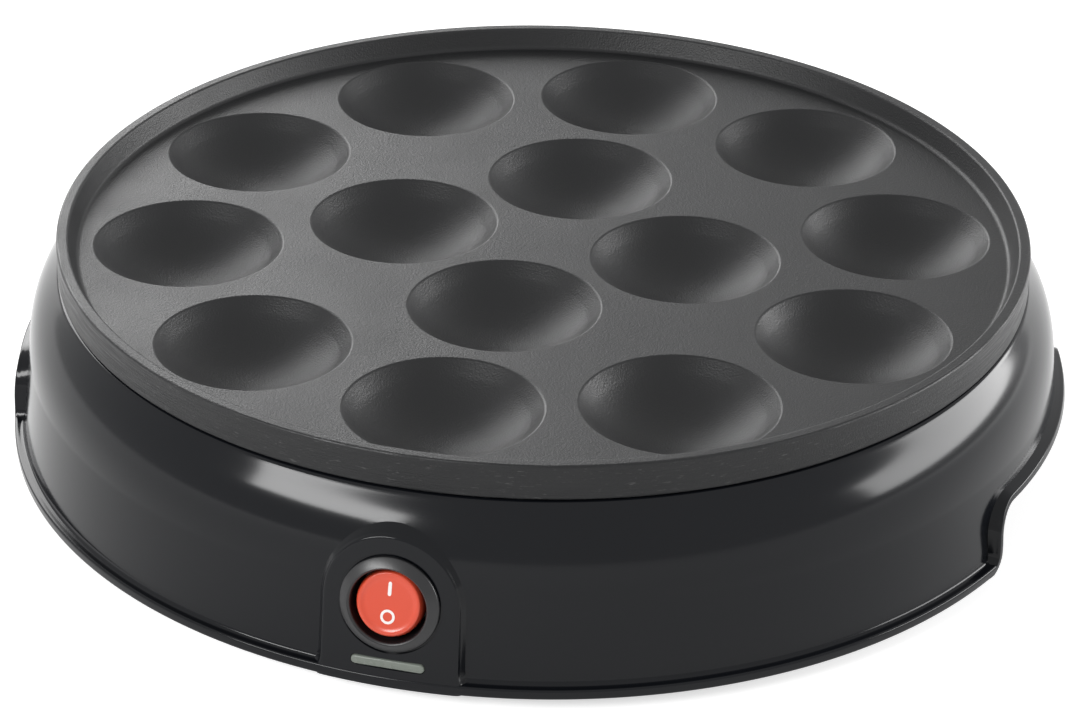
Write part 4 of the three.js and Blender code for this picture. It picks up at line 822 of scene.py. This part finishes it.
def panel_core(s, p):
    """The hollow behind the panel's face."""
    outline = panel_outline(s, p, -s.wall, s.flange_thickness, arch=24, sides=6, base=6)
    front = [wrapped(s, x, y, face_radius(s, p, y) - s.wall) for x, y in outline]
    rear = [wrapped(s, x, y, wall_radius(s, y) - 2 * s.wall - overrun) for x, y in outline]
    rise = p.switch_rise
    ends = (face_radius(s, p, rise) - s.wall, wall_radius(s, rise) - 2 * s.wall - overrun)
    return lofted([front, rear], *[wrapped(s, 0, rise, end) for end in ends])


def switch_tool(radius, depth, segments=96):
    """A round cut into the panel's face, square to it."""
    profile = [(0, -depth), (radius, -depth), (radius, overrun), (0, overrun)]
    return moved(spun(profile, segments), switch_frame())


def switch_frame():
    """Where the switch sits: +Z leaves the panel and +Y runs up it."""
    s, p = sizes("housing_sizes"), sizes("panel_sizes")
    out = face_radius(s, p, p.switch_rise)
    turn = Matrix.Rotation(math.pi / 2 - p.lean, 4, "X")
    return Matrix.Translation((0, -out, s.base + p.switch_rise)) @ turn


def front_bar(width, height, near, far, ease=0.0):
    """A bar with round ends that stands out of the front, at the indicator's height."""
    s, p = sizes("housing_sizes"), sizes("panel_sizes")
    basis = Matrix(((1, 0, 0, 0), (0, 0, -1, 0), (0, 1, 0, s.base + p.lens_rise), (0, 0, 0, 1)))
    return moved(prism(stadium(width, height), near, far, ease), basis)


class OBJECT_OT_housing(bpy.types.Operator):
    """Makes the glossy housing: its skirt, finger grips and the panel that stands out of it"""

    bl_idname = "object.housing_shell"
    bl_label = "Housing"

    def execute(self, context):
        s, p = sizes("housing_sizes"), sizes("panel_sizes")
        shell = mesh_object(skirt(s), "housing_shell")
        combined(shell, panel_boss(s, p), "UNION")
        for side in (1, -1):
            combined(shell, grip_lip(s, side), "UNION")
        gap, hole_depth, spot_depth = 0.0003, 0.0052, 0.000573
        tools = [
            panel_core(s, p),
            grip_tool(s, 1),
            grip_tool(s, -1),
            switch_tool(p.barrel_hole, hole_depth),
            switch_tool(p.spot_radius, spot_depth),
            front_bar(p.lens_width + gap, p.lens_height + gap, s.shelf_radius, s.flange_radius + overrun),
            gland_hole(s),
        ]
        for tool in tools:
            combined(shell, tool, "DIFFERENCE")
        smooth(shell, 32, weighted=True)
        placed(finished(shell, "housing_gloss"), "maker", "housing_gloss", "housing")
        return {"FINISHED"}


# The switch and the indicator

class OBJECT_OT_switch_body(bpy.types.Operator):
    """Makes the switch's body: its domed bezel, the cup round the rocker and the barrel"""

    bl_idname = "object.switch_body"
    bl_label = "Switch body"

    def execute(self, context):
        s = sizes("switch_sizes")
        outer, opening = s.bezel_radius, s.opening_radius
        floor = s.bezel_face - s.cup_depth
        profile = softened(
            [
                (0, floor, 0),
                (opening - 0.0004, floor, 0.0005),
                (opening, s.bezel_face - 0.0006, 0.0003),
                (opening + 0.0005, s.bezel_face, 0.0005),
                (outer - 0.0011, s.bezel_face - 0.0006, 0.0012),
                (outer, s.bezel_seat + 0.0006, 0.0005),
                (outer, s.bezel_seat, 0),
                (s.barrel_radius, s.bezel_seat, 0),
                (s.barrel_radius, s.bezel_seat - s.barrel_length, 0.0006),
                (0, s.bezel_seat - s.barrel_length, 0),
            ],
            6,
        )
        body = smooth(mesh_object(moved(spun(profile, 128), switch_frame()), "bezel_and_barrel"), 40)
        tone = sizes("finish_colours").bezel
        satin = plain_material("bezel_satin", tone, 0.36, grain=1400, cloud=90, bump=0.08, spread=0.03)
        body.data.materials.append(satin)
        placed(body, "maker", "housing_gloss", "switch_body")
        return {"FINISHED"}


def rocker_frame():
    s = sizes("switch_sizes")
    return switch_frame() @ Matrix.Translation((0, 0, s.rocker_pivot)) @ Matrix.Rotation(-s.rocker_tilt, 4, "X")


class OBJECT_OT_rocker(bpy.types.Operator):
    """Makes the translucent rocker with its raised border"""

    bl_idname = "object.rocker"
    bl_label = "Rocker"

    def execute(self, context):
        s = sizes("switch_sizes")
        rise = s.rocker_rise
        profile = softened(
            [
                (0, rise - 0.00035, 0),
                (s.rocker_face - 0.0012, rise - 0.0003, 0.0006),
                (s.rocker_face - 0.0004, rise, 0.0004),
                (s.rocker_face + 0.0002, rise - 0.0001, 0.0003),
                (s.rocker_radius, rise - s.rocker_chamfer, 0.0005),
                (s.rocker_radius, -s.rocker_skirt, 0.0004),
                (0, -s.rocker_skirt, 0),
            ],
            5,
        )
        rocker = smooth(mesh_object(moved(spun(profile, 96), rocker_frame()), "rocker_cap"), 35)
        placed(finished(rocker, "rocker_red"), "rocker", "rocker_red", "switch_rocker")
        return {"FINISHED"}


class OBJECT_OT_rocker_marks(bpy.types.Operator):
    """Makes the printed stroke and ring on the rocker's face"""

    bl_idname = "object.rocker_marks"
    bl_label = "Rocker marks"

    def execute(self, context):
        s = sizes("switch_sizes")
        face = s.rocker_rise - 0.00036
        top = s.rocker_rise - 0.0003 + s.mark_proud
        stroke_length, stroke_width, stroke_place = 0.0033, 0.0008, 0.0034
        inside, outside, ring_place = 0.00108, 0.00166, -0.0030
        stroke = prism(stadium(stroke_length, stroke_width, 4), face, top)
        moved(stroke, Matrix.Rotation(math.pi / 2, 4, "Z"))
        moved(stroke, Matrix.Translation((0, stroke_place, 0)))
        ring = spun([(inside, face), (outside, face), (outside, top), (inside, top)], 48, loop=True)
        moved(ring, Matrix.Translation((0, ring_place, 0)))
        marks = mesh_object(moved(joined([stroke, ring]), rocker_frame()), "rocker_marks")
        tone = sizes("finish_colours").marks
        print_white = plain_material("white_print", tone, 0.4, grain=2500, cloud=400, bump=0.05, vary=0.05)
        marks.data.materials.append(print_white)
        smooth(marks, 30)
        placed(marks, "rocker", "rocker_red")
        return {"FINISHED"}


class OBJECT_OT_indicator(bpy.types.Operator):
    """Makes the indicator's lens with its rounded front and the flange behind the wall"""

    bl_idname = "object.indicator"
    bl_label = "Indicator"

    def execute(self, context):
        s, p = sizes("housing_sizes"), sizes("panel_sizes")
        low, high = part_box("indicator_lens")
        back = -high.y
        face = face_radius(s, p, p.lens_rise)
        if -low.y < face:
            raise RuntimeError("the indicator's node ends behind the panel's face")
        flange_width, flange_thickness, proud, ease = 0.0015, 0.001, 0.0002, 0.00045
        bar = front_bar(p.lens_width, p.lens_height, back + 0.0004, face + proud, ease)
        wide, tall = p.lens_width + 2 * flange_width, p.lens_height + 0.0024
        flange = front_bar(wide, tall, back, back + flange_thickness)
        lens = smooth(mesh_object(joined([bar, flange]), "indicator_bar"), 40)
        placed(finished(lens, "lens"), "maker", "lens", "indicator_lens")
        return {"FINISHED"}


# Feet, gland and the carried-over nodes

def gland_place():
    """The gland's frame: +Z leaves the rear wall."""
    low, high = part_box("cord_gland")
    middle = ((low.x + high.x) / 2, high.y, (low.z + high.z) / 2)
    return Matrix.Translation(middle) @ Matrix.Rotation(-math.pi / 2, 4, "X")


def gland_hole(s):
    near, radius = s.shelf_radius, 0.0067
    low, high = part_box("cord_gland")
    basis = Matrix.Translation((0, near, low.z / 2 + high.z / 2))
    tool = bmesh.new()
    depth = s.flange_radius + overrun - near
    bmesh.ops.create_cone(tool, cap_ends=True, segments=64, radius1=radius, radius2=radius, depth=depth)
    return moved(tool, basis @ Matrix.Rotation(-math.pi / 2, 4, "X") @ Matrix.Translation((0, 0, depth / 2)))


class OBJECT_OT_cord_gland(bpy.types.Operator):
    """Makes the empty cord gland in the rear wall"""

    bl_idname = "object.cord_gland"
    bl_label = "Cord gland"

    def execute(self, context):
        low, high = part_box("cord_gland")
        deep = low.y - high.y
        flange = (high.x - low.x) / 2
        bore, mouth, neck, barb = 0.0037, 0.0048, 0.0064, 0.0074
        profile = softened(
            [
                (bore, deep, 0),
                (barb, deep, 0.0005),
                (barb, deep + 0.0012, 0.0003),
                (neck, deep + 0.0012, 0),
                (neck, -0.0014, 0),
                (flange, -0.0014, 0.0002),
                (flange, 0, 0.0006),
                (mouth, 0, 0.0006),
                (bore, -0.0012, 0.0004),
                (bore, deep, 0),
            ],
            5,
        )[:-1]
        gland = smooth(mesh_object(moved(spun(profile, 96, loop=True), gland_place()), "gland_bush"), 35)
        placed(finished(gland, "rubber"), "maker", "rubber", "cord_gland")
        return {"FINISHED"}


class OBJECT_OT_feet(bpy.types.Operator):
    """Makes the rubber feet with their rounded pads"""

    bl_idname = "object.feet"
    bl_label = "Feet"

    def execute(self, context):
        stem, pad_height = 0.0027, 0.0041
        for number in range(1, 5):
            low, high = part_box(f"foot_{number}")
            middle = (low + high) / 2
            radius = (high.x - low.x) / 2
            top = high.z
            profile = softened(
                [
                    (0, 0, 0),
                    (radius - 0.0035, 0, 0.0006),
                    (radius, 0.0009, 0.0007),
                    (radius, pad_height, 0.0003),
                    (stem, pad_height, 0),
                    (stem, top - 0.0016, 0),
                    (0.0037, top - 0.0016, 0.0003),
                    (0.002, top, 0.0003),
                    (0, top, 0),
                ],
                5,
            )
            pad = moved(spun(profile, 64), Matrix.Translation((middle.x, middle.y, 0)))
            foot = smooth(mesh_object(pad, f"rubber_foot_{number}"), 35)
            placed(finished(foot, "rubber"), "maker", "rubber", f"foot_{number}")
        return {"FINISHED"}


class OBJECT_OT_inner_finishes(bpy.types.Operator):
    """Gives every node that is still shown the finish of its slot"""

    bl_idname = "object.inner_finishes"
    bl_label = "Inner finishes"

    def execute(self, context):
        slots = {row["node"]: row["material_slot"] for row in frame["record"]["subparts"]}
        for name, obj in frame["nodes"].items():
            material = finish_of(slots[name])
            for place in obj.material_slots:
                place.link = "OBJECT"
                place.material = material
        return {"FINISHED"}


# The studio

def area_light(name, power, size, azimuth, elevation, distance):
    light = bpy.data.lights.new(name, "AREA")
    light.energy = power
    light.shape = "RECTANGLE"
    light.size, light.size_y = size
    lamp = bpy.data.objects.new(name, light)
    bpy.context.scene.collection.objects.link(lamp)
    place = round_object(azimuth, elevation, distance)
    way = studio_middle - place
    lamp.matrix_world = Matrix.Translation(place) @ way.to_track_quat("-Z", "Y").to_matrix().to_4x4()
    return lamp


def round_object(azimuth, elevation, distance):
    """A place at an azimuth and elevation round the object, in the camera's own sense of left and right."""
    turn = sizes("studio_sizes").azimuth + math.radians(azimuth)
    lift = math.radians(elevation)
    way = Vector((math.sin(turn) * math.cos(lift), -math.cos(turn) * math.cos(lift), math.sin(lift)))
    return studio_middle + way * distance


def shown_by_ray(tree, output_kind, lighting, background):
    """The background for rays from the camera, in gloss and through glass; the lighting for all others."""
    rays = tree.nodes.new("ShaderNodeLightPath")
    seen = rays.outputs["Is Camera Ray"]
    for kind in ("Is Glossy Ray", "Is Transmission Ray"):
        seen = node(tree, "ShaderNodeMath", {0: seen, 1: rays.outputs[kind]}, operation="MAXIMUM").outputs[0]
    mixed = node(tree, "ShaderNodeMixShader", {0: seen, 1: lighting.outputs[0], 2: background.outputs[0]})
    output = tree.nodes.new(output_kind)
    tree.links.new(mixed.outputs[0], output.inputs["Surface"])


def studio_world():
    """A white backdrop, and a plain soft light on the object."""
    world = bpy.data.worlds.new("studio")
    world.use_nodes = True
    tree = world.node_tree
    tree.nodes.clear()
    surround = node(tree, "ShaderNodeBackground", {"Color": (1, 1, 1, 1), "Strength": 0.3})
    backdrop = node(tree, "ShaderNodeBackground", {"Color": (1, 1, 1, 1), "Strength": 1.0})
    shown_by_ray(tree, "ShaderNodeOutputWorld", surround, backdrop)
    return world


def floor_material():
    """Pale floor: white to the camera and in reflections, with the object's shadow kept."""
    material = bpy.data.materials.new("studio_floor")
    material.use_nodes = True
    tree = material.node_tree
    tree.nodes.clear()
    place = node(tree, "ShaderNodeTexCoord").outputs["Object"]
    cloud = node(tree, "ShaderNodeTexNoise", {"Vector": place, "Scale": 3})
    tone = ranged(tree, cloud.outputs["Fac"], *cloud_range, 0.79, 0.81)
    diffuse = node(tree, "ShaderNodeBsdfDiffuse", {"Color": tone})
    glow = node(tree, "ShaderNodeEmission", {"Color": (1, 1, 1, 1), "Strength": 0.62})
    added = node(tree, "ShaderNodeAddShader", {0: diffuse.outputs[0], 1: glow.outputs[0]})
    shown_by_ray(tree, "ShaderNodeOutputMaterial", diffuse, added)
    return material


class OBJECT_OT_studio(bpy.types.Operator):
    """Sets up the pale floor, the soft lights, the backdrop and the camera"""

    bl_idname = "object.studio"
    bl_label = "Studio"

    def execute(self, context):
        s = sizes("studio_sizes")
        scene = context.scene
        bm = bmesh.new()
        bmesh.ops.create_grid(bm, x_segments=2, y_segments=2, size=s.floor_size / 2)
        floor = mesh_object(bm, "floor")
        floor.data.materials.append(floor_material())

        scene.world = studio_world()
        for lamp in lamps:
            area_light(*lamp)

        data = bpy.data.cameras.new("camera")
        data.lens = s.lens_mm
        data.sensor_width = 36
        data.clip_end = 50
        camera = bpy.data.objects.new("camera", data)
        scene.collection.objects.link(camera)
        low, high = math.cos(s.elevation), math.sin(s.elevation)
        place = Vector((s.aim_side, s.aim_depth - s.distance * low, s.distance * high + sizes("plate_sizes").field))
        stance = Matrix(((1, 0, 0, 0), (0, high, -low, 0), (0, low, high, 0), (0, 0, 0, 1)))
        turn = Matrix.Rotation(s.azimuth, 4, "Z")
        camera.matrix_world = turn @ Matrix.Translation(place) @ stance @ Matrix.Rotation(s.roll, 4, "Z")
        scene.camera = camera
        scene.view_settings.view_transform = "Standard"
        return {"FINISHED"}


steps = (
    OBJECT_OT_studio,
    OBJECT_OT_inner_finishes,
    OBJECT_OT_baking_plate,
    OBJECT_OT_housing,
    OBJECT_OT_switch_body,
    OBJECT_OT_rocker,
    OBJECT_OT_rocker_marks,
    OBJECT_OT_indicator,
    OBJECT_OT_cord_gland,
    OBJECT_OT_feet,
)


class VIEW3D_PT_poffertjes_maker(bpy.types.Panel):
    """Lists the steps that dress the poffertjes maker, with their sizes and colours"""

    bl_label = "Poffertjes maker"
    bl_space_type = "VIEW_3D"
    bl_region_type = "UI"
    bl_category = "Poffertjes"

    def draw(self, context):
        layout = self.layout
        for step in steps:
            layout.operator(step.bl_idname)
        for name in groups:
            box = layout.box()
            box.label(text=name.replace("_", " ").capitalize())
            group = getattr(context.scene, name)
            for key in groups[name].__annotations__:
                box.prop(group, key)


classes = (*groups.values(), *steps, VIEW3D_PT_poffertjes_maker)


def register():
    for item in classes:
        bpy.utils.register_class(item)
    for name, group in groups.items():
        setattr(bpy.types.Scene, name, PointerProperty(type=group))


def unregister():
    for name in groups:
        delattr(bpy.types.Scene, name)
    for item in reversed(classes):
        bpy.utils.unregister_class(item)


def main():
    register()
    bpy.ops.object.studio()
    bpy.ops.object.inner_finishes()
    bpy.ops.object.baking_plate()
    bpy.ops.object.housing_shell()
    bpy.ops.object.switch_body()
    bpy.ops.object.rocker()
    bpy.ops.object.rocker_marks()
    bpy.ops.object.indicator()
    bpy.ops.object.cord_gland()
    bpy.ops.object.feet()


if __name__ == "__main__":
    main()
